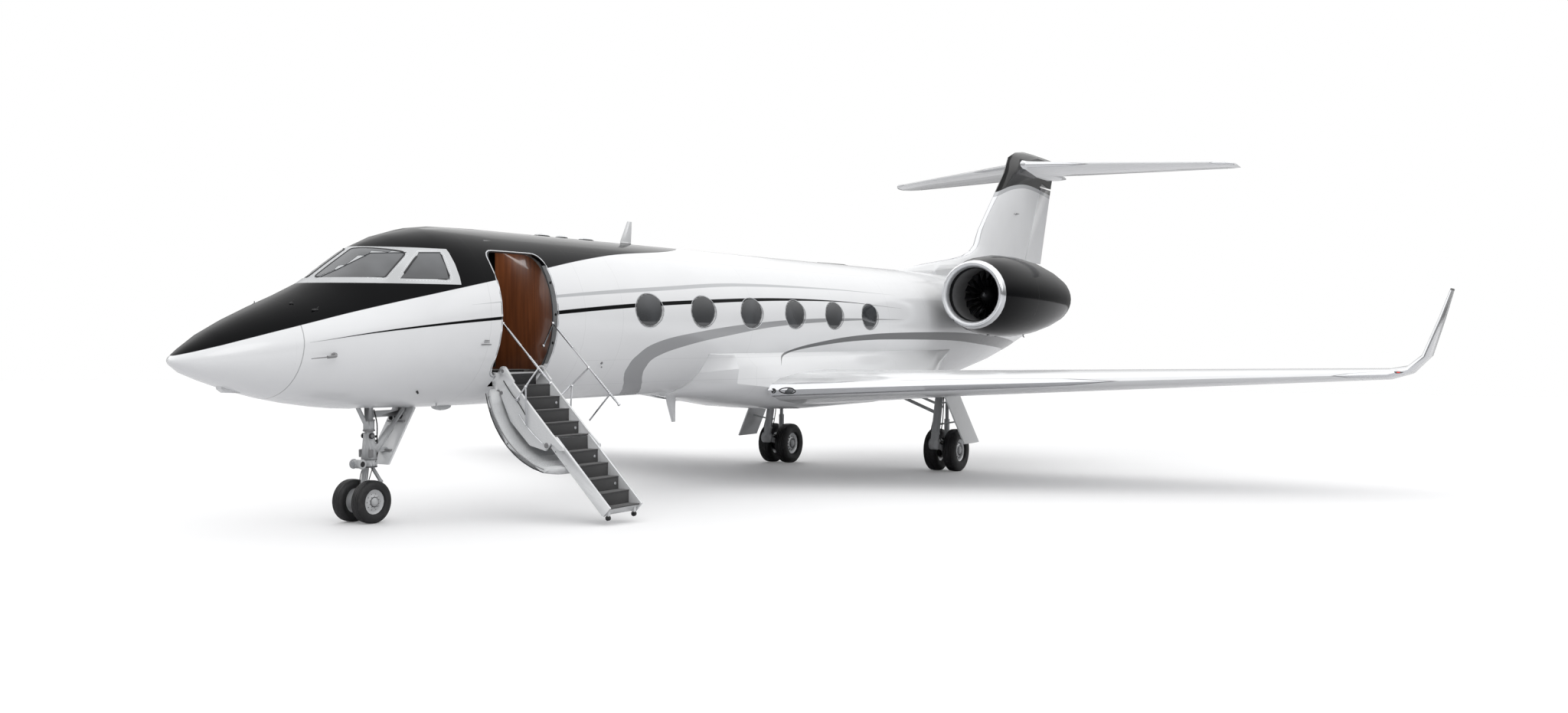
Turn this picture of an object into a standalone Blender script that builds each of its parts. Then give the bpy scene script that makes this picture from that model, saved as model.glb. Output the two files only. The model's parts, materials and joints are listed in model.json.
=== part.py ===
"""Twin-engined business jet parked on its landing gear with its airstair down.

Everything is modelled in the aircraft's own frame and hung from one empty, ATTITUDE, which
sets the slight nose-down stance on the ground. Aircraft frame, in metres: x is the station
aft of the nose datum, y is starboard, z is up from the fuselage centre line.
"""

import math

import bmesh
import bpy
from mathutils import Matrix, Vector

# Driving dimensions
STANCE = 0.0282727
DATUM = (-14.1600, 0.0, 2.5370)
GAP = 0.0003
RADIUS = 1.2
WALL = 0.095
RING = 40
SIDES = (("port", -1), ("starboard", 1))

# station, half width, top, bottom, widest level, power of the upper lobe
NOSE = (
    (0.06, 0.03, -0.520, -0.570, -0.545, 2.00),
    (0.11, 0.11, -0.480, -0.606, -0.545, 2.00),
    (0.24, 0.22, -0.390, -0.692, -0.540, 2.00),
    (0.50, 0.39, -0.225, -0.790, -0.525, 2.00),
    (0.83, 0.54, -0.058, -0.900, -0.480, 1.95),
    (1.20, 0.68, 0.103, -0.998, -0.420, 1.90),
)
COCKPIT = (
    (1.20, 0.68, 0.103, -0.998, -0.420, 1.90),
    (1.55, 0.78, 0.252, -1.070, -0.340, 1.75),
    (1.90, 0.86, 0.420, -1.123, -0.280, 1.65),
    (2.20, 0.93, 0.625, -1.157, -0.230, 1.58),
    (2.55, 1.00, 0.852, -1.178, -0.180, 1.60),
    (2.95, 1.065, 1.015, -1.189, -0.120, 1.80),
    (3.40, 1.13, 1.135, -1.198, -0.060, 1.95),
    (3.80, 1.17, 1.185, -1.205, -0.020, 2.00),
)
CABIN_FRONT, CABIN_BACK = 3.80, 14.90
CABIN = (
    (CABIN_FRONT, 1.17, 1.185, -1.205, -0.020, 2.00),
    (4.40, 1.195, 1.200, -1.210, -0.005, 2.00),
    (CABIN_BACK, 1.195, 1.200, -1.210, -0.005, 2.00),
)
TAIL = (
    (CABIN_BACK, 1.195, 1.200, -1.210, -0.005, 2.00),
    (18.40, 1.195, 1.200, -1.210, -0.005, 2.00),
    (20.00, 1.130, 1.180, -1.130, 0.025, 2.00),
    (21.50, 1.010, 1.130, -0.900, 0.115, 2.00),
    (23.00, 0.850, 1.110, -0.600, 0.255, 2.00),
    (24.50, 0.650, 1.080, -0.250, 0.415, 2.00),
    (26.00, 0.420, 1.020, 0.160, 0.590, 2.00),
    (27.10, 0.200, 0.940, 0.520, 0.730, 2.00),
)
WINDOW_FIRST, WINDOW_PITCH, WINDOW_COUNT = 7.10, 1.397, 6
WINDOW_LEVEL, WINDOW_LONG, WINDOW_HIGH = 0.114, 0.66, 0.48
DOOR_FRONT, DOOR_BACK, DOOR_SILL, DOOR_TOP = 4.00, 5.04, -0.80, 0.84
FLOOR = -0.73
FLOOR_BOTTOM = -0.775
FLOOR_FRONT = 3.97

# Airstair side view as (starboard, up) points in the plane of the fuselage section
STAIR_HINGE = Vector((-0.83, -0.853))
STAIR_TOP = Vector((-1.17, -0.922))
STAIR_RUN = Vector((-0.711, -0.703))
STAIR_RISE = Vector((-0.703, 0.711))
STAIR_CLOSE = 134.0
STAIR_FRONT, STAIR_BACK = 4.17, 4.93
FOLD_ALONG, FOLD_ABOVE = 1.15, 0.015
RAIL_ALONG, RAIL_ABOVE = 0.20, -0.05
STEP_RISE = 0.242
# middle and lowest level of the casters, short enough to pass the top of the doorway as the stair folds
CASTER = (-2.66, -2.60)
SKIRT_FRONT, SKIRT_BACK, SKIRT_LOW = 4.145, 4.955, -0.940
LOBE = (-1.000, -0.735)

# Ground line and wheels
NOSE_AXLE, NOSE_WHEEL_RADIUS, NOSE_TYRE_WIDTH, NOSE_SPACING = 2.692, 0.270, 0.184, 0.35
MAIN_AXLE, MAIN_WHEEL_RADIUS, MAIN_TYRE_WIDTH, MAIN_SPACING = 15.856, 0.425, 0.278, 0.42
MAIN_TRACK = 3.945
NOSE_WELL = (2.50, 3.44, 0.16)
KNUCKLE = (15.29, -2.41)
AXLE_SIDES = 32

# Engine
ENGINE_OUT, ENGINE_UP = 2.15, 0.60
INTAKE, FAN, EXHAUST = 16.70, 17.62, 21.30

PAINT = {
    "white": ((0.80, 0.81, 0.83), 0.18, 0.0),
    "black": ((0.012, 0.013, 0.015), 0.12, 0.0),
    "metal": ((0.72, 0.73, 0.75), 0.22, 1.0),
    "grey": ((0.55, 0.56, 0.57), 0.40, 0.1),
    "rubber": ((0.02, 0.02, 0.02), 0.75, 0.0),
    "glass": ((0.05, 0.06, 0.07), 0.05, 0.0),
    "wood": ((0.27, 0.10, 0.04), 0.30, 0.0),
    "carpet": ((0.07, 0.07, 0.07), 0.95, 0.0),
    "leather": ((0.60, 0.55, 0.48), 0.50, 0.0),
    "dark": ((0.05, 0.05, 0.055), 0.45, 0.4),
}


def clear_scene():
    for old in list(bpy.data.objects):
        bpy.data.objects.remove(old, do_unlink=True)


def attitude_empty():
    empty = bpy.data.objects.new("ATTITUDE", None)
    bpy.context.scene.collection.objects.link(empty)
    empty.location = DATUM
    empty.rotation_euler = (0.0, -STANCE, 0.0)
    return empty


def material(finish):
    made = bpy.data.materials.get(finish)
    if made:
        return made
    colour, roughness, metallic = PAINT[finish]
    made = bpy.data.materials.new(finish)
    made.use_nodes = True
    shader = made.node_tree.nodes["Principled BSDF"]
    shader.inputs["Base Color"].default_value = (*colour, 1.0)
    shader.inputs["Roughness"].default_value = roughness
    shader.inputs["Metallic"].default_value = metallic
    return made


def place(name, bm, finish, pivot=(0.0, 0.0, 0.0)):
    """An object on the stance empty, with its origin at pivot, from a mesh in the aircraft frame."""
    bmesh.ops.remove_doubles(bm, verts=bm.verts, dist=0.00005)
    bmesh.ops.recalc_face_normals(bm, faces=bm.faces)
    bmesh.ops.translate(bm, verts=bm.verts, vec=-Vector(pivot))
    mesh = bpy.data.meshes.new(name)
    bm.to_mesh(mesh)
    bm.free()
    mesh.materials.append(material(finish))
    mesh.shade_smooth()
    mesh.set_sharp_from_angle(angle=math.radians(35))
    made = bpy.data.objects.new(name, mesh)
    bpy.context.scene.collection.objects.link(made)
    made.parent = bpy.data.objects["ATTITUDE"]
    made.location = pivot
    return made


def cutter(name, bm):
    made = place(name, bm, "dark")
    made.hide_render = True
    made.display_type = "WIRE"
    return made


def boolean(target, tool, operation="DIFFERENCE"):
    cut = target.modifiers.new(tool.name, "BOOLEAN")
    cut.operation = operation
    cut.object = tool
    cut.solver = "EXACT"


def skin(bm, rings, closed_ends=True):
    """Quads between rings of equal count, with a face on each end ring if closed_ends."""
    made = [[bm.verts.new(point) for point in ring] for ring in rings]
    for ring, following in zip(made, made[1:]):
        for i in range(len(ring)):
            j = (i + 1) % len(ring)
            bm.faces.new((ring[i], ring[j], following[j], following[i]))
    if closed_ends:
        bm.faces.new(made[0][::-1])
        bm.faces.new(made[-1])
    return made


def loft(rings):
    bm = bmesh.new()
    skin(bm, rings)
    return bm


def hull_ring(station, inset=0.0):
    """One fuselage section: two half ellipses, the upper one of the station's own power."""
    x, half, top, bottom, level, power = station
    ring = []
    for i in range(RING):
        turn = 2 * math.pi * i / RING
        c, s = math.cos(turn), math.sin(turn)
        bend = 2 / (power if s > 0 else 2.0)
        reach = (top - inset - level) if s > 0 else (level - bottom - inset)
        y = (half - inset) * math.copysign(abs(c) ** bend, c)
        ring.append((x, y, level + reach * math.copysign(abs(s) ** bend, s)))
    return ring


def hull(stations, outer=0.0):
    return loft([hull_ring(station, outer) for station in stations])


def hull_shell(stations, outer=0.0, wall=WALL):
    """A tube wall: the outer skin, the inner lining and the two end rims."""
    bm = bmesh.new()
    outside = skin(bm, [hull_ring(s, outer) for s in stations], closed_ends=False)
    inside = skin(bm, [hull_ring(s, wall) for s in stations], closed_ends=False)
    for one, other in ((outside[0], inside[0]), (outside[-1], inside[-1])):
        for i in range(RING):
            j = (i + 1) % RING
            bm.faces.new((one[i], one[j], other[j], other[i]))
    return bm


def tail_cup(stations):
    """The tail's wall, closed at the back and open at the front."""
    bm = bmesh.new()
    outside = skin(bm, [hull_ring(s) for s in stations], closed_ends=False)
    inside = skin(bm, [hull_ring(s, WALL) for s in stations[:-1]], closed_ends=False)
    for i in range(RING):
        j = (i + 1) % RING
        bm.faces.new((outside[0][i], outside[0][j], inside[0][j], inside[0][i]))
    bm.faces.new(outside[-1])
    bm.faces.new(inside[-1])
    return bm


def prism(outline, low, high, axis="y"):
    """An outline of two-number points extruded along one axis. Along y the outline is (x, z),
    along x it is (y, z) and along z it is (x, y)."""
    build = {
        "x": lambda p, d: (d, p[0], p[1]),
        "y": lambda p, d: (p[0], d, p[1]),
        "z": lambda p, d: (p[0], p[1], d),
    }[axis]
    bm = bmesh.new()
    face = bm.faces.new([bm.verts.new(build(point, low)) for point in outline])
    pushed = bmesh.ops.extrude_face_region(bm, geom=[face])
    moved = [v for v in pushed["geom"] if isinstance(v, bmesh.types.BMVert)]
    bmesh.ops.translate(bm, verts=moved, vec=Vector(build((0.0, 0.0), high - low)))
    return bm


def box(bm, low, high):
    low, high = Vector(low), Vector(high)
    made = bmesh.ops.create_cube(bm, size=1.0)["verts"]
    bmesh.ops.scale(bm, verts=made, vec=high - low)
    bmesh.ops.translate(bm, verts=made, vec=(low + high) / 2)
    return made


def rod(bm, start, end, radius, sides=10, end_radius=None):
    """A round bar between two points."""
    start, end = Vector(start), Vector(end)
    along = end - start
    made = bmesh.ops.create_cone(
        bm,
        cap_ends=True,
        segments=sides,
        radius1=radius,
        radius2=radius if end_radius is None else end_radius,
        depth=along.length,
    )["verts"]
    turn = along.to_track_quat("Z", "Y").to_matrix().to_4x4()
    bmesh.ops.transform(bm, verts=made, matrix=Matrix.Translation((start + end) / 2) @ turn)
    return made


def turned(profile, centre, axis="x", sides=32):
    """A closed profile of (along, radius) points turned about an axis through centre."""
    bm = bmesh.new()
    cx, cy, cz = centre
    rings = []
    for i in range(sides):
        c, s = math.cos(2 * math.pi * i / sides), math.sin(2 * math.pi * i / sides)
        if axis == "x":
            rings.append([(cx + a, cy + r * c, cz + r * s) for a, r in profile])
        else:
            rings.append([(cx + r * c, cy + a, cz + r * s) for a, r in profile])
    skin(bm, rings + rings[:1], closed_ends=False)
    return bm


def oval(x, z, long, high, points=20):
    return [
        (x + long / 2 * math.cos(2 * math.pi * i / points), z + high / 2 * math.sin(2 * math.pi * i / points))
        for i in range(points)
    ]


def joined(name, pieces, finish, pivot=(0.0, 0.0, 0.0)):
    """One object from shapes that overlap: the first, with each other united to it."""
    first = place(name, pieces[0], finish, pivot)
    for i, piece in enumerate(pieces[1:]):
        boolean(first, cutter(f"{name}_with_{i}", piece), "UNION")
    return first


def piece_of(maker, *args, **kwargs):
    """A new mesh holding the one shape that maker adds to it."""
    bm = bmesh.new()
    maker(bm, *args, **kwargs)
    return bm


# Fuselage

PANES = {
    # pane name: outline as (station, level) corners
    "front": ((1.95, 0.435), (2.50, 0.440), (2.93, 0.775), (2.58, 0.760)),
    "side": ((2.66, 0.430), (3.27, 0.435), (3.33, 0.790), (3.07, 0.780)),
}
FRAME = ((1.60, 0.365), (3.40, 0.372), (3.44, 0.835), (2.34, 0.850), (1.60, 0.500))


def pane_prism(outline, side, spread=0.0):
    """A pane's outline pushed out by spread and extruded sideways."""
    centre = sum((Vector(p) for p in outline), Vector((0.0, 0.0))) / len(outline)
    grown = []
    for point in outline:
        away = Vector(point) - centre
        grown.append(tuple(centre + away * (1 + spread / away.length)))
    return prism(grown, side * 0.045, side * 1.4)


def fuselage():
    place("radome", loft([hull_ring(s) for s in NOSE]), "white")
    for node in ("nose_shell", "windscreen_frame"):
        stations = [(COCKPIT[0][0] + GAP, *COCKPIT[0][1:]), *COCKPIT[1:-1], (COCKPIT[-1][0] - GAP, *COCKPIT[-1][1:])]
        shell = place(node, hull_shell(stations), "white" if node == "nose_shell" else "metal")
        if node == "nose_shell":
            boolean(shell, cutter("frame_cut", prism(FRAME, -1.4, 1.4)))
            boolean(shell, cutter("nose_well", piece_of(box, (NOSE_WELL[0], -NOSE_WELL[2], -1.4), (NOSE_WELL[1], NOSE_WELL[2], -0.9))))
        else:
            centre = sum((Vector(p) for p in FRAME), Vector((0.0, 0.0))) / len(FRAME)
            inner = [tuple(centre + (Vector(p) - centre) * (1 - 0.0005)) for p in FRAME]
            boolean(shell, cutter("frame_keep", prism(inner, -1.4, 1.4)), "INTERSECT")
            for side_name, side in SIDES:
                for pane, outline in PANES.items():
                    boolean(shell, cutter(f"pane_{pane}_{side_name}_cut", pane_prism(outline, side)))
    for side_name, side in SIDES:
        for pane, outline in PANES.items():
            sheet = place(f"pane_{pane}_{side_name}", hull_shell(COCKPIT, outer=0.010, wall=0.035), "glass")
            keep = cutter(f"pane_{pane}_{side_name}_keep", pane_prism(outline, side, spread=-0.0005))
            boolean(sheet, keep, "INTERSECT")

    cabin = place("cabin_shell", hull_shell(CABIN), "white")
    for side_name, side in SIDES:
        for i in range(WINDOW_COUNT):
            outline = oval(WINDOW_FIRST + i * WINDOW_PITCH, WINDOW_LEVEL, WINDOW_LONG, WINDOW_HIGH)
            hole = prism(outline, *sorted((side * 0.8, side * 1.4)))
            boolean(cabin, cutter(f"window_{side_name}_{i}", hole))
    boolean(cabin, cutter("doorway", prism(door_outline(0.0), -1.5, -0.5)))
    skirt = piece_of(box, (SKIRT_FRONT, -1.5, SKIRT_LOW), (SKIRT_BACK, -0.5, DOOR_SILL + 0.1))
    boolean(cabin, cutter("skirt_way", skirt))

    place("aft_fuselage", tail_cup([(CABIN_BACK + GAP, *TAIL[0][1:]), *TAIL[1:]]), "white")


def boss(rows, sides=12):
    """A small fitting built of level ovals. Columns: level, station of the middle, half length, half width."""
    rings = []
    for level, middle, long, wide in rows:
        turns = [2 * math.pi * i / sides for i in range(sides)]
        rings.append([(middle + long * math.cos(t), wide * math.sin(t), level) for t in turns])
    return loft(rings)


def antennas():
    """The fittings that stand off the hull: domes and a blade on top, a blade below, a scoop under the nose."""
    cabin = bpy.data.objects["cabin_shell"]
    for index, (station, long) in enumerate(((6.05, 0.16), (6.48, 0.11), (7.04, 0.16))):
        dome = boss(((1.15, station, long, 0.09), (1.205, station, long, 0.09), (1.240, station, long * 0.6, 0.05)))
        boolean(cabin, cutter(f"dome_{index}", dome), "UNION")
    blade = boss(((1.15, 8.02, 0.150, 0.022), (1.25, 8.02, 0.135, 0.018), (1.57, 8.12, 0.060, 0.006)), 10)
    boolean(cabin, cutter("top_blade", blade), "UNION")
    under = boss(((-1.225, 9.19, 0.150, 0.022), (-1.40, 9.21, 0.120, 0.016), (-1.70, 9.27, 0.055, 0.006)), 10)
    boolean(bpy.data.objects["belly_fairing"], cutter("belly_blade", under), "UNION")
    scoop = prism(((0.66, -0.76), (0.68, -0.875), (0.74, -0.915), (0.92, -0.925), (1.02, -0.76)), -0.05, 0.05)
    boolean(bpy.data.objects["radome"], cutter("chin_scoop", scoop), "UNION")


def door_outline(clear):
    """The doorway in side view, its corners rounded, made smaller by clear."""
    radius = 0.16 - clear
    low_x, high_x = DOOR_FRONT + clear, DOOR_BACK - clear
    low_z, high_z = DOOR_SILL + clear, DOOR_TOP - clear
    outline = []
    for cx, cz, first in (
        (high_x - radius, high_z - radius, 0),
        (low_x + radius, high_z - radius, 90),
        (low_x + radius, low_z + radius, 180),
        (high_x - radius, low_z + radius, 270),
    ):
        for step in range(5):
            turn = math.radians(first + 22.5 * step)
            outline.append((cx + radius * math.cos(turn), cz + radius * math.sin(turn)))
    return outline


def window_strips():
    """Each side's six panes on the thin strip behind the lining that carries them."""
    inner = WALL + GAP
    for side_name, side in SIDES:
        band = hull_shell(CABIN, outer=inner, wall=inner + 0.012)
        strip = place(f"window_strip_{side_name}", band, "glass")
        low = (WINDOW_FIRST - 0.6, side * 0.5, WINDOW_LEVEL - 0.33)
        high = (WINDOW_FIRST + (WINDOW_COUNT - 1) * WINDOW_PITCH + 0.6, side * 1.4, WINDOW_LEVEL + 0.33)
        corners = [tuple(min(a, b) for a, b in zip(low, high)), tuple(max(a, b) for a, b in zip(low, high))]
        boolean(strip, cutter(f"strip_{side_name}_keep", piece_of(box, *corners)), "INTERSECT")
        for i in range(WINDOW_COUNT):
            x = WINDOW_FIRST + i * WINDOW_PITCH
            outline = oval(x, WINDOW_LEVEL, WINDOW_LONG - 0.006, WINDOW_HIGH - 0.006)
            pane = prism(outline, *sorted((side * 1.08, side * 1.165)))
            boolean(strip, cutter(f"strip_{side_name}_{i}", pane), "UNION")


def fairing():
    place("belly_fairing", fairing_body(), "white")


def fairing_body(spread=0.0):
    """Wing-to-body fairing hugging the lower hull. Columns: station, side bulge, belly bulge."""
    rows = (
        (8.80, 0.03, 0.03),
        (9.50, 0.70, 0.22),
        (10.10, 1.00, 0.45),
        (11.10, 1.00, 0.80),
        (12.30, 1.00, 1.00),
        (15.20, 1.00, 1.00),
        (16.60, 1.00, 0.72),
        (17.30, 0.60, 0.35),
        (18.00, 0.03, 0.03),
    )
    shoulders = ((-27, 1.10, -0.60), (-45, 1.32, -0.78), (-54, 1.32, -1.28), (-63, 1.16, -1.50), (-76.5, 0.62, -1.60), (-90, 0.0, -1.62))
    rings = []
    for x, side_bulge, belly_bulge in rows:
        half = []
        for degrees, out, up in shoulders:
            c, s = math.cos(math.radians(degrees)), math.sin(math.radians(degrees))
            y, z = (1.195 + 0.012) * c, -0.005 + (1.205 + 0.012) * s
            bulge_z = side_bulge if up > -1.0 else belly_bulge
            y, z = y + (out - y) * side_bulge, z + (up - z) * bulge_z
            half.append((y + spread * (degrees > -80), z - spread))
        inside = []
        for step in range(8):
            turn = math.radians(-27 - 9 * step)
            inside.append(((1.195 + GAP) * math.cos(turn), -0.005 + (1.205 + GAP) * math.sin(turn)))
        right = half[:-1] + [half[-1]] + [(-y, z) for y, z in half[-2::-1]]
        left = [(-y, z) for y, z in inside[:-1]] + [inside[-1]] + inside[-2::-1]
        rings.append([(x, y, z) for y, z in right + left])
    return loft(rings)


# Interior

def cabin_station(x):
    """The hull section at a station between the first two of the cabin."""
    front, back = CABIN[0], CABIN[1]
    share = min(1.0, (x - front[0]) / (back[0] - front[0]))
    return (x, *(a + (b - a) * share for a, b in zip(front[1:], back[1:])))


def wall_at(level, inset, x=CABIN_BACK):
    """Half width of the lining's faceted section at a station and a level below the middle."""
    points = [(p[1], p[2]) for p in hull_ring(cabin_station(x), inset)]
    for (y1, z1), (y2, z2) in zip(points, points[1:] + points[:1]):
        if y1 > 0 and y2 > 0 and min(z1, z2) <= level <= max(z1, z2) and level < 0:
            return y1 + (y2 - y1) * (level - z1) / (z2 - z1)
    raise ValueError(level)


def interior():
    inset = WALL + 0.0005
    rings = []
    for x in (FLOOR_FRONT, 4.40, 14.60):
        top, bottom = wall_at(FLOOR, inset, x), wall_at(FLOOR_BOTTOM, inset, x)
        rings.append([(x, -top, FLOOR), (x, top, FLOOR), (x, bottom, FLOOR_BOTTOM), (x, -bottom, FLOOR_BOTTOM)])
    floor = place("cabin_floor", loft(rings), "carpet")
    boolean(floor, cutter("threshold_cut", piece_of(box, (3.0, -1.2, -0.9), (5.06, -0.66, -0.6))))
    sill = [(-0.80, -0.7305), (-0.80, -0.722), (-0.60, -0.722), (-0.60, -0.76), (-0.655, -0.7305)]
    boolean(floor, cutter("sill_plate", prism(sill, DOOR_FRONT + 0.1, DOOR_BACK - 0.1, "x")), "UNION")
    for i, x in enumerate((STAIR_FRONT, STAIR_BACK - 0.035)):
        slot = piece_of(box, (x - 0.010, -0.9, -0.9), (x + 0.045, -0.52, -0.6))
        boolean(floor, cutter(f"arm_slot_{i}", slot))
    bulkhead = place("aft_bulkhead", prism(bulkhead_outline(inset), 5.10, 5.15, "x"), "wood")
    boolean(bulkhead, cutter("aisle", piece_of(box, (5.0, 0.02, -0.70), (5.3, 0.62, 0.95))))
    galley = [(0.40, FLOOR + GAP), (0.80, FLOOR + GAP), (0.94, -0.48), (0.94, 0.48), (0.80, 0.70), (0.40, 0.90)]
    place("galley_cabinet", prism(galley, 4.00, 5.0985, "x"), "wood")
    seats()
    cockpit()


def bulkhead_outline(inset):
    top = wall_at(FLOOR + GAP, inset)
    ring = [(p[1], p[2]) for p in hull_ring(CABIN[-1], inset)]
    above = [p for p in ring if p[1] > FLOOR + 0.02]
    above.sort(key=lambda p: (math.atan2(p[1], p[0]) + math.pi / 2) % (2 * math.pi))
    return [(top, FLOOR + GAP)] + above + [(-top, FLOOR + GAP)]


def seats():
    """A row of lounge chairs on one plinth along each side of the cabin."""
    for side_name, side in SIDES:
        outline = [(5.9, FLOOR + GAP), (14.4, FLOOR + GAP), (14.4, -0.55)]
        for i in reversed(range(5)):
            x = 6.3 + 1.60 * i
            outline += [(x + 0.95, -0.55), (x + 0.93, 0.30), (x + 0.80, 0.34), (x + 0.62, -0.22), (x, -0.24), (x, -0.55)]
        outline.append((5.9, -0.55))
        place(f"seats_{side_name}", prism(outline, *sorted((side * 0.30, side * 0.80))), "leather")


def cockpit():
    deck = bmesh.new()
    box(deck, (1.95, -0.50, -0.775), (FLOOR_FRONT - GAP, 0.50, FLOOR))
    panel = prism([(2.05, -0.74), (2.30, -0.74), (2.42, 0.10), (2.16, 0.17), (2.02, 0.12)], -0.44, 0.44)
    pieces = [deck, panel]
    for side in (-1, 1):
        outline = [(3.00, -0.74), (3.52, -0.74), (3.66, 0.50), (3.56, 0.52), (3.42, -0.18), (2.96, -0.22)]
        pieces.append(prism(outline, *sorted((side * 0.16, side * 0.52))))
    joined("cockpit_deck", pieces, "dark")


# Airstair

def stair_point(along, above):
    return STAIR_TOP + STAIR_RUN * along + STAIR_RISE * above


def swing(point, centre, degrees):
    """A point of the section plane turned about centre, positive from starboard towards up."""
    c, s = math.cos(math.radians(degrees)), math.sin(math.radians(degrees))
    y, z = point[0] - centre[0], point[1] - centre[1]
    return (centre[0] + y * c - z * s, centre[1] + y * s + z * c)


def door_skin(low_x, high_x, low_z, high_z, bevel=0.0):
    """A stretch of hull wall between two stations and two levels, swung open about the sill hinge.

    Bevel is how much higher the inner face starts, so that the edge swings out past the sill.
    """
    level, count = -0.005, 11
    bm = bmesh.new()
    rings = []
    for x in (low_x, high_x):
        half = 1.193 if x > 4.3 else 1.181
        outside, inside = [], []
        for i in range(count):
            z = low_z + (high_z - low_z) * i / (count - 1)
            turn = math.asin((z - level) / 1.205)
            outside.append((x, -half * math.cos(turn), z))
            turn = math.asin((z + bevel * (1 - i / (count - 1)) - level) / 1.205)
            inside.append((x, -(half - 0.085) * math.cos(turn), level + 1.12 * math.sin(turn)))
        rings.append(outside + inside[::-1])
    skin(bm, rings)
    for vert in bm.verts:
        vert.co.yz = swing(vert.co.yz, STAIR_HINGE, STAIR_CLOSE)
    return bm


def door_corners(clear):
    """What is cut off the door's square corners, more below so that they swing out past the sill."""
    x_ends = (DOOR_FRONT + clear - 0.02, DOOR_BACK - clear + 0.02)
    z_ends = (DOOR_SILL + clear - 0.02, DOOR_TOP - clear + 0.02)
    made = []
    for first, x, z in ((0, 1, 1), (5, 0, 1), (10, 0, 0), (15, 1, 0)):
        arc = door_outline(clear if z else clear + 0.014)[first:first + 5]
        ends = (x_ends[x], z_ends[z])
        across = [(ends[0], arc[0][1]), (arc[4][0], ends[1])] if x == z else [(arc[0][0], ends[1]), (ends[0], arc[4][1])]
        bm = prism([ends, across[0], *arc, across[1]], -1.5, -0.5)
        for vert in bm.verts:
            vert.co.yz = swing(vert.co.yz, STAIR_HINGE, STAIR_CLOSE)
        made.append(bm)
    return made


def steps_outline(start, end, depth):
    """Side view of a flight: the sawtooth of its steps between two distances along it."""
    count = round((end - start) / STEP_RISE)
    pitch = (end - start) / count
    outline = []
    for i in range(count):
        nose = stair_point(start + pitch * i, 0.0)
        foot = stair_point(start + pitch * (i + 1), 0.0)
        outline += [tuple(nose), (nose.x, foot.y)]
    outline.append(tuple(stair_point(end, 0.0)))
    outline.append(tuple(stair_point(end, -depth)))
    outline.append(tuple(stair_point(start + 0.03, -depth)))
    return outline


def airstair():
    hinge = (0.0, STAIR_HINGE.x, STAIR_HINGE.y)
    fold = stair_point(FOLD_ALONG, FOLD_ABOVE)
    fold_pivot = (0.0, fold.x, fold.y)
    width = (STAIR_FRONT, STAIR_BACK)

    clear = 0.012
    upper = [
        door_skin(DOOR_FRONT + clear, DOOR_BACK - clear, DOOR_SILL + clear, DOOR_TOP - clear, 0.06),
        door_skin(SKIRT_FRONT + clear, SKIRT_BACK - clear, SKIRT_LOW + clear, DOOR_SILL + 0.05),
        piece_of(rod, (SKIRT_FRONT + 0.0005, *STAIR_HINGE), (SKIRT_BACK - 0.0005, *STAIR_HINGE), 0.018, 12),
        prism(steps_outline(0.0, 0.93, 0.21), STAIR_FRONT + 0.035, STAIR_BACK - 0.035, "x"),
    ]
    for x in width:
        low, high = (x, x + 0.035) if x == STAIR_FRONT else (x - 0.035, x)
        cheek = [
            stair_point(-0.12, 0.03), stair_point(0.90, 0.03), stair_point(1.15, 0.045), stair_point(1.185, 0.02),
            stair_point(1.15, -0.02), stair_point(0.98, -0.06), stair_point(0.98, -0.20), stair_point(0.75, -0.34), stair_point(0.30, -0.36), stair_point(-0.05, -0.24),
        ]
        upper.append(prism([tuple(p) for p in cheek], low, high, "x"))
        middle = x + 0.0175 if x == STAIR_FRONT else x - 0.0175
        upper.append(piece_of(rod, (middle - 0.018, *LOBE), (middle + 0.018, *LOBE), 0.065, 20))
        upper.append(prism([
            (LOBE[0] + 0.06, LOBE[1] + 0.02), (LOBE[0] - 0.04, LOBE[1] + 0.05), (-1.18, -0.86),
            (-1.15, -1.05), (-0.98, -1.04), (-0.88, -0.90), (-0.86, -0.82),
        ], low, high, "x"))
    door = joined("airstair_door", upper, "white", hinge)
    for index, corner in enumerate(door_corners(clear)):
        boolean(door, cutter(f"door_corner_{index}", corner))

    inset = 0.045
    lower = [prism(steps_outline(0.965, 2.165, 0.13), STAIR_FRONT + inset, STAIR_BACK - inset, "x")]
    joined("airstair_lower", lower + feet(inset), "white", fold_pivot)
    handrails()


def feet(inset):
    """Side strips of the lower flight, its fold pins and its two casters."""
    made = []
    for x in (STAIR_FRONT + inset, STAIR_BACK - inset - 0.03):
        strip = [stair_point(0.955, 0.03), stair_point(2.19, 0.03), stair_point(2.19, -0.12), stair_point(0.955, -0.10)]
        made.append(prism([tuple(p) for p in strip], x, x + 0.03, "x"))
    fold = stair_point(FOLD_ALONG, FOLD_ABOVE)
    for x, end in ((STAIR_FRONT + inset, STAIR_FRONT + 0.0355), (STAIR_BACK - inset, STAIR_BACK - 0.0355)):
        middle = x + math.copysign(0.02, x - end)
        made.append(piece_of(rod, (middle, fold.x, fold.y), (end, fold.x, fold.y), 0.02, 12))
    level = CASTER[1] + 0.03
    for x in (STAIR_FRONT + 0.12, STAIR_BACK - 0.12):
        made.append(piece_of(box, (x - 0.02, CASTER[0] - 0.02, level), (x + 0.02, CASTER[0] + 0.02, level + 0.12)))
        made.append(piece_of(rod, (x - 0.018, CASTER[0], level), (x + 0.018, CASTER[0], level), 0.030, 14))
    return made


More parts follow.
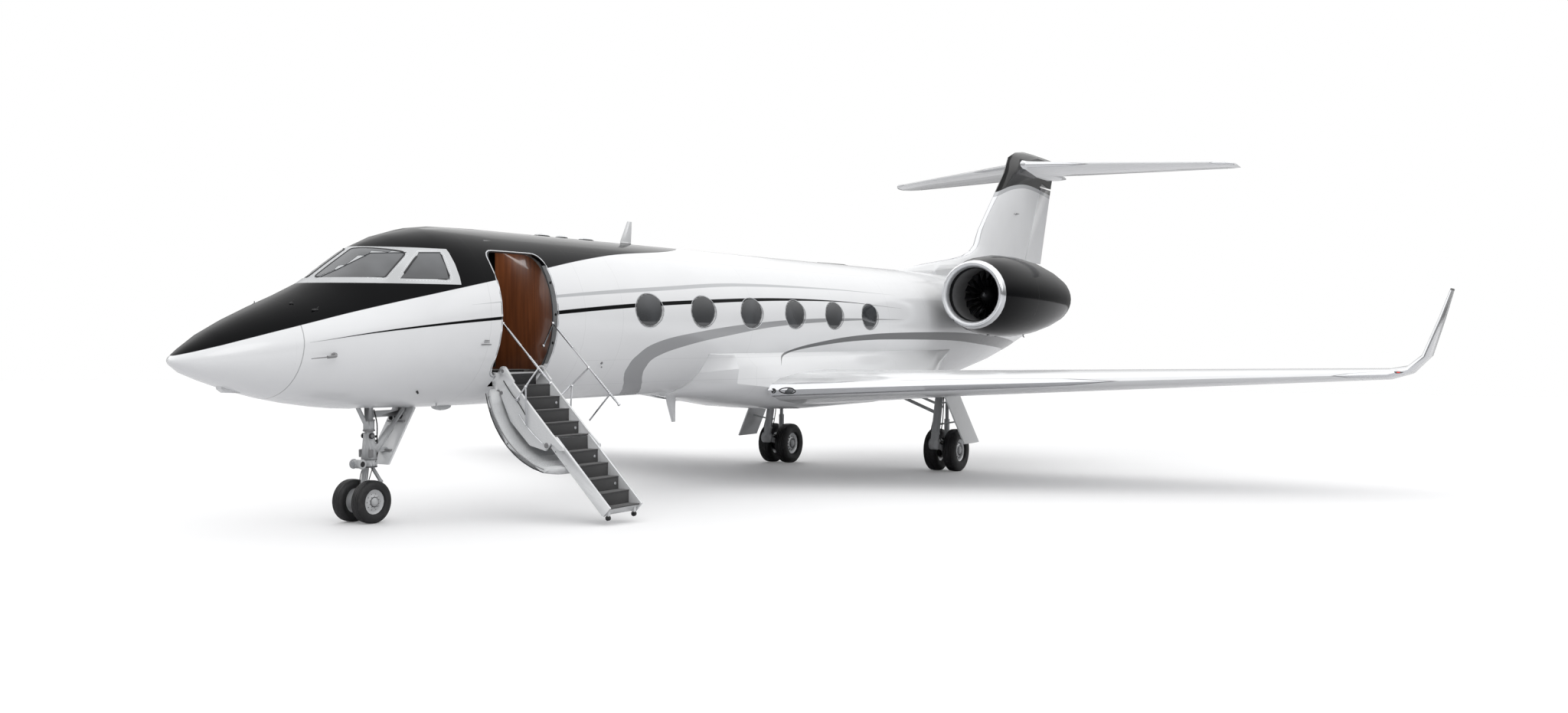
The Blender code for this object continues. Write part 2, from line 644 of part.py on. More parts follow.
def handrails():
    """Two rails with their posts, carried by pins at the foot of each first post."""
    pivot = stair_point(RAIL_ALONG, RAIL_ABOVE)
    plans = {
        "handrail_front": (
            STAIR_FRONT - 0.035,
            ((-1.048, -0.110), (-1.858, -0.880)),
            (((-1.651, -0.700), tuple(pivot)), ((-1.435, -0.930), (-1.445, -1.440))),
        ),
        "handrail_back": (
            STAIR_BACK + 0.035,
            ((-1.00, -0.404), (-1.17, -0.100), (-2.30, -1.180)),
            (((-1.790, -0.700), tuple(pivot)), ((-2.150, -1.045), (-1.800, -1.400)), ((-1.500, -0.944), (-1.455, -1.460))),
        ),
    }
    for name, (x, line, posts) in plans.items():
        pieces = []
        for (y1, z1), (y2, z2) in zip(line, line[1:]):
            pieces.append(piece_of(rod, (x, y1, z1), (x, y2, z2), 0.0125, 8))
        for (y1, z1), (y2, z2) in posts:
            pieces.append(piece_of(rod, (x, y1, z1), (x, y2, z2), 0.0115, 8))
        cheek = STAIR_FRONT - 0.0004 if x < STAIR_FRONT else STAIR_BACK + 0.0004
        outer = x - math.copysign(0.016, cheek - x)
        pieces.append(piece_of(rod, (outer, pivot.x, pivot.y), (cheek, pivot.x, pivot.y), 0.022, 12))
        joined(name, pieces, "metal", (0.0, pivot.x, pivot.y))


# Wings and tail

# each control surface's hinge line, from one end to the other
HINGE_ENDS = {}
THICKNESS_AT = (
    (1.0, 0.010), (0.75, 0.40), (0.50, 0.80), (0.30, 1.0), (0.15, 0.86), (0.06, 0.60), (0.015, 0.30), (0.0, 0.0),
)


def aerofoil(lead, chord, depth, up):
    """A section with its chord along x: lead is the leading edge, up the way the depth points."""
    lead, up = Vector(lead), Vector(up).normalized()
    top = [lead + Vector((chord * x, 0, 0)) + up * (depth / 2 * t) for x, t in THICKNESS_AT]
    low = [lead + Vector((chord * x, 0, 0)) - up * (depth / 2 * t) for x, t in THICKNESS_AT[-2::-1]]
    return [tuple(p) for p in top + low]


# station of leading edge, half span, level, chord, depth, lean of the section in degrees
WING = (
    (10.15, 1.3205, -1.180, 6.35, 0.62, 0),
    (11.42, 3.60, -1.110, 4.75, 0.46, 0),
    (15.10, 10.25, -0.950, 2.00, 0.19, 3),
    (15.42, 10.52, -0.880, 1.80, 0.16, 30),
    (15.82, 10.72, -0.660, 1.55, 0.12, 62),
    (16.55, 10.90, 0.000, 1.05, 0.08, 76),
    (17.20, 11.02, 0.520, 0.62, 0.05, 78),
)


def along_wing(half_span):
    """Leading edge station, level, chord and depth of the wing at a half span."""
    for inner, outer in zip(WING, WING[1:]):
        if inner[1] <= half_span <= outer[1]:
            t = (half_span - inner[1]) / (outer[1] - inner[1])
            return [a + (b - a) * t for a, b in zip(inner, outer)]
    raise ValueError(half_span)


def wings():
    for side_name, side in SIDES:
        rings = []
        for x, y, z, chord, depth, lean in WING:
            up = (0.0, -side * math.sin(math.radians(lean)), math.cos(math.radians(lean)))
            rings.append(aerofoil((x, side * y, z), chord, depth, up))
        wing = place(f"wing_{side_name}", loft(rings), "white")
        ends = []
        for span in (7.60, 9.95):
            x, _, z, chord, depth, _ = along_wing(span)
            ends.append(((x + chord * 0.78, side * span, z), depth * 0.36 / 2, (x + chord * 0.995, side * span, z)))
        hinged_surface(f"aileron_{side_name}", ends, (0, 0, 1), wing)


def hinged_surface(name, ends, up, host, gap=0.02):
    """A control surface with a round nose on its hinge line, and the bay it needs in its host.

    Each end is (hinge point, nose radius, trailing point), and gap is the room left beyond it.
    """
    up = Vector(up)
    HINGE_ENDS[name] = (ends[0][0], ends[1][0])
    rings, bay = [], []
    (h1, _, _), (h2, _, _) = ends
    across = (Vector(h2) - Vector(h1)).normalized()
    for (hinge, radius, trail), outward in zip(ends, (-1, 1)):
        hinge, trail = Vector(hinge), Vector(trail)
        back = (trail - hinge).normalized()
        ring = [trail + up * 0.006]
        for step in range(7):
            turn = math.radians(90 + 30 * step)
            ring.append(hinge + up * radius * math.sin(turn) + back * radius * math.cos(turn))
        ring.append(trail - up * 0.006)
        rings.append([tuple(p) for p in ring])
        shift = across * gap * outward
        front = hinge - back * (radius + 0.010) + shift
        rear = trail + back * 0.5 + shift
        bay.append([tuple(front + up * 0.6), tuple(front - up * 0.6), tuple(rear - up * 0.6), tuple(rear + up * 0.6)])
    boolean(host, cutter(f"{name}_bay", loft(bay)))
    pieces = [loft(rings)]
    for (hinge, radius, _), outward in zip(ends, (-1, 1)):
        size = min(radius * 0.5, 0.02)
        start, way = Vector(hinge), across * outward
        bore = piece_of(rod, tuple(start), tuple(start + way * (gap + 0.03)), (size + 0.0004) / math.cos(math.pi / 16), 16)
        boolean(host, cutter(f"{name}_bore_{outward}", bore))
        pieces.append(piece_of(rod, tuple(start - way * 0.08), tuple(start + way * (gap + 0.02)), size, 16))
    joined(name, pieces, "white", ends[0][0])


# level, leading edge station, chord, depth
FIN = (
    (0.80, 16.60, 9.97, 0.34),
    (1.18, 17.10, 9.46, 0.36),
    (1.38, 18.67, 7.81, 0.36),
    (1.59, 20.34, 6.05, 0.36),
    (1.70, 21.02, 5.33, 0.36),
    (1.84, 21.50, 4.87, 0.36),
    (2.01, 21.79, 4.66, 0.36),
    (2.41, 22.07, 4.55, 0.36),
    (4.00, 23.75, 3.45, 0.30),
)
TAIL_LEVEL = 4.33
TAIL_DEPTH = 0.10


def fin():
    rings = [aerofoil((x, 0.0, z), chord, depth, (0, 1, 0)) for z, x, chord, depth in FIN]
    cap = ((4.00, 23.7503, 3.45, 0.30), (4.45, 24.05, 3.35, 0.27), (4.62, 24.50, 2.95, 0.20), (4.69, 25.00, 2.30, 0.10))
    body = place("fin", loft(rings + [aerofoil((x, 0.0, z), chord, depth, (0, 1, 0)) for z, x, chord, depth in cap[1:]]), "white")
    intake = ((19.04, 1.00), (19.04, 1.25), (19.31, 1.40), (21.30, 1.48), (21.60, 1.00))
    boolean(body, cutter("dorsal_intake", prism(intake, -0.24, 0.24)), "UNION")
    boolean(body, cutter("hull_under_fin", hull(TAIL, outer=-0.0005)))
    ends = []
    for level in (1.75, 3.85):
        lower = max(row for row in FIN if row[0] <= level)
        upper = min(row for row in FIN if row[0] >= level)
        t = 0.0 if upper[0] == lower[0] else (level - lower[0]) / (upper[0] - lower[0])
        x, chord, depth = (a + (b - a) * t for a, b in zip(lower[1:], upper[1:]))
        ends.append(((x + chord * 0.74, 0.0, level), depth * 0.42 / 2, (x + chord * 0.995, 0.0, level)))
    hinged_surface("rudder", ends, (0, 1, 0), body, gap=0.05)
    return body


def tailplane(fin_body):
    """Tailplane through the fin's top on its bullet fairing, and its two elevators."""
    rings = []
    for y in (-4.95, -4.75, 0.0, 4.75, 4.95):
        t = abs(y) / 4.95
        chord = 3.10 + (1.30 - 3.10) * t
        if abs(y) > 4.8:
            chord = 0.90
        lead = 24.75 + 2.35 * t + (0.30 if abs(y) > 4.8 else 0.0)
        rings.append(aerofoil((lead, y, TAIL_LEVEL - 0.05 * t), chord, chord * TAIL_DEPTH, (0, 0, 1)))
    plane = place("tailplane", loft(rings), "white")
    profile = ((0.0, 0.02), (0.5, 0.17), (1.6, 0.24), (2.6, 0.22), (3.6, 0.11), (4.15, 0.03))
    bullet = loft([
        [(24.20 + a, r * math.cos(math.pi * i / 8), TAIL_LEVEL - 0.02 + r * math.sin(math.pi * i / 8)) for i in range(16)]
        for a, r in profile
    ])
    boolean(plane, cutter("bullet", bullet), "UNION")
    boolean(fin_body, cutter("bullet_way", grown_bullet(profile)))
    boolean(fin_body, cutter("plane_way", grown_plane()))
    for side_name, side in SIDES:
        ends = []
        for y in (0.55, 4.60):
            t = y / 4.95
            chord = 3.10 + (1.30 - 3.10) * t
            lead = 24.75 + 2.35 * t
            level = TAIL_LEVEL - 0.05 * t
            ends.append(((lead + chord * 0.74, side * y, level), chord * TAIL_DEPTH * 0.42 / 2, (lead + chord * 0.995, side * y, level)))
        hinged_surface(f"elevator_{side_name}", ends, (0, 0, 1), plane, gap=0.03)


def grown_bullet(profile):
    return loft([
        [(24.20 + a + (0.02 if a > 4 else -0.0004), (r + 0.0006) * math.cos(math.pi * i / 8),
          TAIL_LEVEL - 0.02 + (r + 0.0006) * math.sin(math.pi * i / 8)) for i in range(16)]
        for a, r in profile
    ])


def grown_plane():
    rings = []
    for y in (-1.0, 0.0, 1.0):
        t = abs(y) / 4.95
        chord = 3.10 + (1.30 - 3.10) * t
        lead = 24.75 + 2.35 * t
        rings.append(aerofoil((lead - 0.003, y, TAIL_LEVEL - 0.05 * t), chord + 0.006, chord * TAIL_DEPTH + 0.002, (0, 0, 1)))
    return loft(rings)


# Engines

NACELLE = ((0.10, 0.700), (0.45, 0.790), (1.10, 0.868), (2.00, 0.875), (2.90, 0.815), (3.80, 0.690), (4.45, 0.560), (4.60, 0.515))
DUCT = ((4.60, 0.495), (3.60, 0.620), (2.30, 0.640), (1.60, 0.640), (1.05, 0.575), (0.75, 0.572), (0.25, 0.545), (0.06, 0.585), (0.0, 0.640), (0.03, 0.680))
BLADES = 20


def engines():
    for side_name, side in SIDES:
        centre = (INTAKE, side * ENGINE_OUT, ENGINE_UP)
        place(f"nacelle_{side_name}", turned(list(NACELLE) + list(DUCT), centre), "black")
        core = [(1.18, 0.0), (1.18, 0.34), (2.2, 0.42), (3.7, 0.36), (4.45, 0.22), (4.95, 0.02), (4.95, 0.0)]
        pieces = [solid_turned(core, centre, 24)]
        for i in range(5):
            turn = 2 * math.pi * i / 5 + math.pi / 2
            pieces.append(strut(centre, turn, (1.75, 2.05), 0.30, 0.6359, 0.03))
        joined(f"engine_{side_name}", pieces, "dark")
        fan(side_name, centre)
        pylon(side_name, side, centre)


def solid_turned(profile, centre, sides):
    """A solid of revolution about x whose profile starts and ends on the axis."""
    rings = []
    for along, radius in profile[1:-1]:
        rings.append([
            (centre[0] + along, centre[1] + radius * math.cos(2 * math.pi * i / sides),
             centre[2] + radius * math.sin(2 * math.pi * i / sides))
            for i in range(sides)
        ])
    return loft(rings)


def strut(centre, turn, span, inner, outer, half_thick):
    """A flat radial vane between two radii."""
    bm = bmesh.new()
    made = box(bm, (span[0], -half_thick, inner), (span[1], half_thick, outer))
    bmesh.ops.rotate(bm, verts=made, matrix=Matrix.Rotation(turn, 3, "X"), cent=(0, 0, 0))
    bmesh.ops.translate(bm, verts=made, vec=centre)
    return bm


def fan(side_name, centre):
    """Fan rotor: spinner, hub and swept blades with a running gap to the duct."""
    spin = [(0.62, 0.0), (0.62, 0.02), (0.74, 0.11), (0.90, 0.175), (1.12, 0.19), (1.12, 0.0)]
    pieces = [solid_turned(spin, centre, 20)]
    pieces.append(piece_of(rod, (centre[0] + 1.0, centre[1], centre[2]), (centre[0] + 1.1796, centre[1], centre[2]), 0.06, 12))
    blades = bmesh.new()
    for i in range(BLADES):
        rings = []
        for radius, half_chord, twist in ((0.15, 0.060, 20), (0.36, 0.075, 42), (0.562, 0.070, 62)):
            lean = math.radians(twist)
            ring = []
            for a, b in ((-half_chord, 0.004), (half_chord, 0.004), (half_chord, -0.004), (-half_chord, -0.004)):
                along = a * math.cos(lean) - b * math.sin(lean)
                around = a * math.sin(lean) + b * math.cos(lean)
                turn = 2 * math.pi * i / BLADES + around / radius
                ring.append((centre[0] + 0.98 + along, centre[1] + radius * math.cos(turn), centre[2] + radius * math.sin(turn)))
            rings.append(ring)
        skin(blades, rings)
    pieces.append(blades)
    joined(f"fan_{side_name}", pieces, "dark", centre)


def pylon(side_name, side, centre):
    rings = []
    for y in (0.60, 1.80):
        rings.append(aerofoil((17.75, side * y, 0.47), 3.3, 0.34, (0, 0, 1)))
    mast = place(f"pylon_{side_name}", loft(rings), "white")
    boolean(mast, cutter(f"hull_by_pylon_{side_name}", hull(TAIL, outer=-0.0005)))
    outside = [(a, r + 0.0005) for a, r in NACELLE]
    outside[-1] = (4.70, outside[-1][1])
    shape = solid_turned([(0, 0)] + outside + [(0, 0)], centre, 32)
    boolean(mast, cutter(f"nacelle_by_pylon_{side_name}", shape))


# Landing gear

def tyre(name, x, y, z, radius, width, rim, sides=20):
    half = width / 2
    profile = [
        (-half * 0.62, rim), (-half * 0.92, rim + (radius - rim) * 0.35), (-half * 0.94, rim + (radius - rim) * 0.62),
        (-half * 0.62, radius * 0.988), (0.0, radius), (half * 0.62, radius * 0.988),
        (half * 0.94, rim + (radius - rim) * 0.62), (half * 0.92, rim + (radius - rim) * 0.35), (half * 0.62, rim),
    ]
    return place(name, turned(profile, (x, y, z), "y", sides), "rubber", (x, y, z))


def hub_pair(name, x, y, z, spacing, rim, width, bore):
    """Two dished wheel discs on the axle that turns with them in the leg's bearing."""
    pieces = []
    for side in (-1, 1):
        half = width / 2 * 0.58
        profile = [(-half, bore), (-half, rim * 0.55), (-half * 0.5, rim * 0.75), (-half * 0.95, rim), (half * 0.95, rim),
                   (half * 0.5, rim * 0.75), (half, rim * 0.55), (half, bore)]
        pieces.append(turned(profile, (x, y + side * spacing / 2, z), "y", 18))
    reach = spacing / 2 + width / 2 * 0.58 + 0.02
    pieces.append(piece_of(rod, (x, y - reach, z), (x, y + reach, z), bore + 0.004, AXLE_SIDES))
    joined(name, pieces, "metal", (x, y, z))


def bearing_radius(bore):
    """Radius of a bearing whose flats clear the axle's corners as it turns."""
    return (bore + 0.0044) / math.cos(math.pi / AXLE_SIDES)


def axle_level(x, radius):
    """Level in the aircraft frame of a wheel centre that stands on the ground."""
    return (radius - DATUM[2] - x * math.sin(STANCE)) / math.cos(STANCE)


def nose_gear():
    """Leg with its folding braces, the steered fork, the wheels and the door on the leg's back."""
    x, z = NOSE_AXLE, axle_level(NOSE_AXLE, NOSE_WHEEL_RADIUS)
    leg_x = x + 0.12
    pin = NOSE_WELL[2] - GAP
    pieces = [
        piece_of(rod, (leg_x, 0, -1.02), (leg_x, 0, -1.52), 0.055, 14),
        piece_of(rod, (leg_x, 0, -1.33), (leg_x, 0, -1.47), 0.070, 14),
        piece_of(rod, (leg_x, 0, -1.50), (leg_x, 0, -1.82), 0.068, 14, 0.100),
        piece_of(rod, (leg_x, -pin, -1.13), (leg_x, pin, -1.13), 0.030, 10),
        piece_of(rod, (leg_x - 0.21, 0, -1.10), (leg_x - 0.02, 0, -1.44), 0.028, 8),
        piece_of(rod, (leg_x - 0.20, -pin, -1.12), (leg_x - 0.20, pin, -1.12), 0.022, 8),
        piece_of(box, (leg_x, -0.035, -1.30), (leg_x + 0.54, 0.035, -1.22)),
        piece_of(rod, (leg_x + 0.52, -pin, -1.17), (leg_x + 0.52, pin, -1.17), 0.025, 8),
        piece_of(rod, (leg_x + 0.52, 0, -1.24), (leg_x + 0.52, 0, -1.17), 0.03, 8),
        piece_of(rod, (leg_x + 0.04, -0.06, -1.72), (leg_x + 0.30, -0.06, -1.44), 0.046, 12),
        piece_of(rod, (leg_x + 0.28, -0.06, -1.46), (leg_x + 0.50, -0.06, -1.22), 0.030, 10),
        piece_of(rod, (leg_x + 0.50, -0.06, -1.19), (leg_x + 0.50, -0.06, -1.24), 0.03, 8),
        piece_of(box, (leg_x + 0.04, -0.05, -1.74), (leg_x + 0.25, 0.05, -1.69)),
    ]
    plate = [(3.385, -1.185), (3.411, -1.194), (2.969, -1.900), (2.943, -1.900)]
    leg = joined("nose_gear_leg", pieces, "grey")
    along = (Vector(plate[0]) - Vector(plate[3])).normalized() * 0.05
    ahead = Vector((-along.y, along.x)).normalized() * 0.0005
    grown = [
        tuple(Vector(plate[0]) + along + ahead), tuple(Vector(plate[0]) + along + Vector((0.3, 0.0))),
        tuple(Vector(plate[3]) - along + Vector((0.3, 0.0))), tuple(Vector(plate[3]) - along + ahead),
    ]
    boolean(leg, cutter("door_way", prism(grown, -0.25, 0.25)))
    place("nose_gear_door", prism(plate, -0.20, 0.20), "white")
    bore = 0.032
    pieces = [
        piece_of(rod, (leg_x, 0, -1.8203), (leg_x, 0, -1.93), 0.098, 16),
        piece_of(rod, (leg_x - 0.18, -0.07, -1.875), (leg_x - 0.18, 0.07, -1.875), 0.055, 14),
        piece_of(box, (leg_x - 0.18, -0.04, -1.91), (leg_x, 0.04, -1.84)),
        piece_of(rod, (leg_x - 0.05, 0, -1.90), (x, 0, z), 0.042, 14),
        piece_of(rod, (x, -0.075, z), (x, 0.075, z), 0.062, 20),
        piece_of(rod, (leg_x + 0.04, 0, -1.92), (leg_x + 0.19, 0, -2.13), 0.024, 8),
        piece_of(rod, (leg_x + 0.195, 0, -2.11), (x + 0.02, 0, z), 0.030, 8),
    ]
    fork = joined("nose_gear_fork", pieces, "grey", (leg_x, 0.0, -1.82))
    boolean(fork, cutter("nose_bearing", piece_of(rod, (x, -0.2, z), (x, 0.2, z), bearing_radius(bore), AXLE_SIDES)))
    wheel("nose", x, 0.0, z, NOSE_WHEEL_RADIUS, NOSE_TYRE_WIDTH, NOSE_SPACING, 0.155, bore)


def wheel(name, x, y, z, radius, width, spacing, rim, bore):
    """Twin wheels: the hubs on one sleeve and a tyre on each."""
    split = (rim + GAP) / math.cos(math.pi / 20)
    hub_pair(f"{name}_wheels", x, y, z, spacing, rim, width, bore)
    for side_name, side in (("inner", -1), ("outer", 1)):
        where = y + side * spacing / 2 * (1 if y >= 0 else -1)
        label = side_name if name != "nose" else {"inner": "port", "outer": "starboard"}[side_name]
        tyre(f"{name}_tyre_{label}", x, where, z, radius, width, split)


def main_gear():
    """Each side's leg, trailing link, wheels and the leg door that splays outboard."""
    x, z = MAIN_AXLE, axle_level(MAIN_AXLE, MAIN_WHEEL_RADIUS)
    bore = 0.055
    for side_name, side in SIDES:
        y = side * MAIN_TRACK / 2
        knuckle_x, knuckle_z = KNUCKLE
        top_x = knuckle_x + 0.32
        top = wing_under(top_x, abs(y))
        strut_top = wing_under(x + 0.05, abs(y))
        pieces = [
            piece_of(rod, (top_x, y, top + 0.05), (knuckle_x, y, knuckle_z), 0.082, 16),
            piece_of(rod, (knuckle_x, y - 0.075, knuckle_z), (knuckle_x, y + 0.075, knuckle_z), 0.11, 16),
            piece_of(rod, (15.41, y, -1.80), (15.45, side * 1.00, -1.42), 0.034, 8),
            piece_of(rod, (15.45, y, -1.62), (15.47, side * 1.10, -1.30), 0.026, 8),
            piece_of(rod, (top_x, y, top - 0.09), (x + 0.09, y, top - 0.09), 0.05, 12),
        ]
        leg = joined(f"main_gear_leg_{side_name}", pieces, "grey")
        boolean(leg, cutter(f"wing_over_leg_{side_name}", wing_cutter(side)))
        boolean(leg, cutter(f"fairing_by_leg_{side_name}", fairing_body(0.0005)))
        link = [
            piece_of(rod, (knuckle_x + 0.11 + 0.008, y, knuckle_z - 0.035), (x, y, z), 0.055, 12),
            piece_of(rod, (x, y - 0.065, z), (x, y + 0.065, z), 0.105, 20),
            piece_of(rod, (x + 0.02, y, z + 0.03), (x + 0.05, y, top - 0.1414), 0.036, 12),
            piece_of(rod, (x + 0.02, y, z + 0.04), (x + 0.035, y, z + 0.62), 0.055, 12),
        ]
        del strut_top
        link = joined(f"main_gear_link_{side_name}", link, "grey")
        bearing = piece_of(rod, (x, y - 0.3, z), (x, y + 0.3, z), bearing_radius(bore), AXLE_SIDES)
        boolean(link, cutter(f"main_bearing_{side_name}", bearing))
        wheel(f"main_{side_name}", x, y, z, MAIN_WHEEL_RADIUS, MAIN_TYRE_WIDTH, MAIN_SPACING, 0.225, bore)
        plate = [(side * 2.09, -1.18), (side * 2.115, -1.16), (side * 2.66, -2.38), (side * 2.635, -2.39)]
        door = place(f"main_gear_door_{side_name}", prism(plate, 15.22, 15.92, "x"), "white")
        boolean(door, cutter(f"wing_over_door_{side_name}", wing_cutter(side)))


def wing_under(x, y):
    """Level of the wing's lower face."""
    lead, _, z, chord, depth, _ = along_wing(y)
    share = (x - lead) / chord
    for (x1, t1), (x2, t2) in zip(THICKNESS_AT, THICKNESS_AT[1:]):
        if x2 <= share <= x1:
            return z - depth / 2 * (t1 + (t2 - t1) * (share - x1) / (x2 - x1))
    raise ValueError(share)


def wing_cutter(side):
    rings = []
    for x, y, z, chord, depth, _ in WING[:2]:
        rings.append(aerofoil((x - 0.001, side * y, z), chord + 0.002, depth + 0.0016, (0, 0, 1)))
    rings.insert(0, [(px, side * 0.9, pz) for px, _, pz in rings[0]])
    return loft(rings)


def main():
    clear_scene()
    attitude_empty()
    fuselage()
    window_strips()
    fairing()
    antennas()
    interior()
    airstair()
    wings()
    tailplane(fin())
    engines()
    nose_gear()
    main_gear()


main()
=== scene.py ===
"""Looks of a business jet parked on its gear with the airstair let down.

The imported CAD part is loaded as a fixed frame. Each sub-assembly is a class that dresses its CAD nodes
and adds the smaller pieces around them. Shapes are worked out in the aircraft's own axes, which are
station (aft), side (to starboard) and level (up), and are turned to the parked stance at the end.
"""
import json
import logging
import math
from dataclasses import dataclass, field
from enum import Enum
from typing import Callable, Iterable, Sequence

import bmesh
import bpy
from mathutils import Matrix, Vector
from mathutils.bvhtree import BVHTree

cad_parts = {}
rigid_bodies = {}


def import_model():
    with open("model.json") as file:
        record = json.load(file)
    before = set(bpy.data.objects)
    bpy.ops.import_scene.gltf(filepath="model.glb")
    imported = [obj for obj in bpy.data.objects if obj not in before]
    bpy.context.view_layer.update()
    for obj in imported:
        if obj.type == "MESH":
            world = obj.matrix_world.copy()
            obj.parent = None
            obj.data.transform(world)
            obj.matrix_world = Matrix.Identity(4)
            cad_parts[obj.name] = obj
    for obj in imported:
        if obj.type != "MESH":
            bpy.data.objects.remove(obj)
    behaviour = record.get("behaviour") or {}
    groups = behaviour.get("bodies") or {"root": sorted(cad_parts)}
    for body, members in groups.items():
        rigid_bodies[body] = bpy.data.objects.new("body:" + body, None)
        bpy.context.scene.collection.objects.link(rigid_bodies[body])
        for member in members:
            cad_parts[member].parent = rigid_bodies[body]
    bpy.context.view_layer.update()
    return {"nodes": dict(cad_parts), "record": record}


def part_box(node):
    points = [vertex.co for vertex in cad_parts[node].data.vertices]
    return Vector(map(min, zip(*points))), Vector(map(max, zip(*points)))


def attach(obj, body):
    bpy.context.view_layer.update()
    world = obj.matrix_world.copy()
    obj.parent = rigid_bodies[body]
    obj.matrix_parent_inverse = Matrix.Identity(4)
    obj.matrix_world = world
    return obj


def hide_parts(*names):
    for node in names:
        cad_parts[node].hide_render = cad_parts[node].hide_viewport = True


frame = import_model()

Point = Sequence[float]
Outline = Sequence[tuple[float, float]]
Paint = tuple[float, float, float]

LOG = logging.getLogger("business_jet")

# Parked stance: nose-down angle in radians and the place of the aircraft's own datum
STANCE = 0.0282727
DATUM = Vector((-14.1600, 0.0, 2.5370))
AIR = Matrix.Translation(DATUM) @ Matrix.Rotation(-STANCE, 4, "Y")

SHARP_ANGLE = math.radians(32.0)
WELD = 2e-5


class Side(Enum):
    """A side of the aircraft and the sign of its sideways coordinate."""

    PORT = -1
    STARBOARD = 1

    @property
    def label(self) -> str:
        """The side's name in the CAD nodes."""
        return self.name.lower()


class Slot(Enum):
    """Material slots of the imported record."""

    WHITE = "gloss_white"
    STAIR = "airstair_white"
    GREY = "gear_grey"
    METAL = "bare_metal"
    WHEEL = "wheel_silver"
    RAIL = "rail_metal"
    BLACK = "nacelle_black"
    ENGINE = "engine_dark"
    FAN = "fan_metal"
    TYRE = "tyre_rubber"
    GLASS = "glazing"
    WOOD = "wood_veneer"
    CARPET = "carpet"
    SEAT = "seat_leather"
    COCKPIT = "cockpit_dark"


BODY_OF = {
    node: body
    for body, nodes in frame["record"]["behaviour"]["bodies"].items()
    for node in nodes
}


# Node graphs

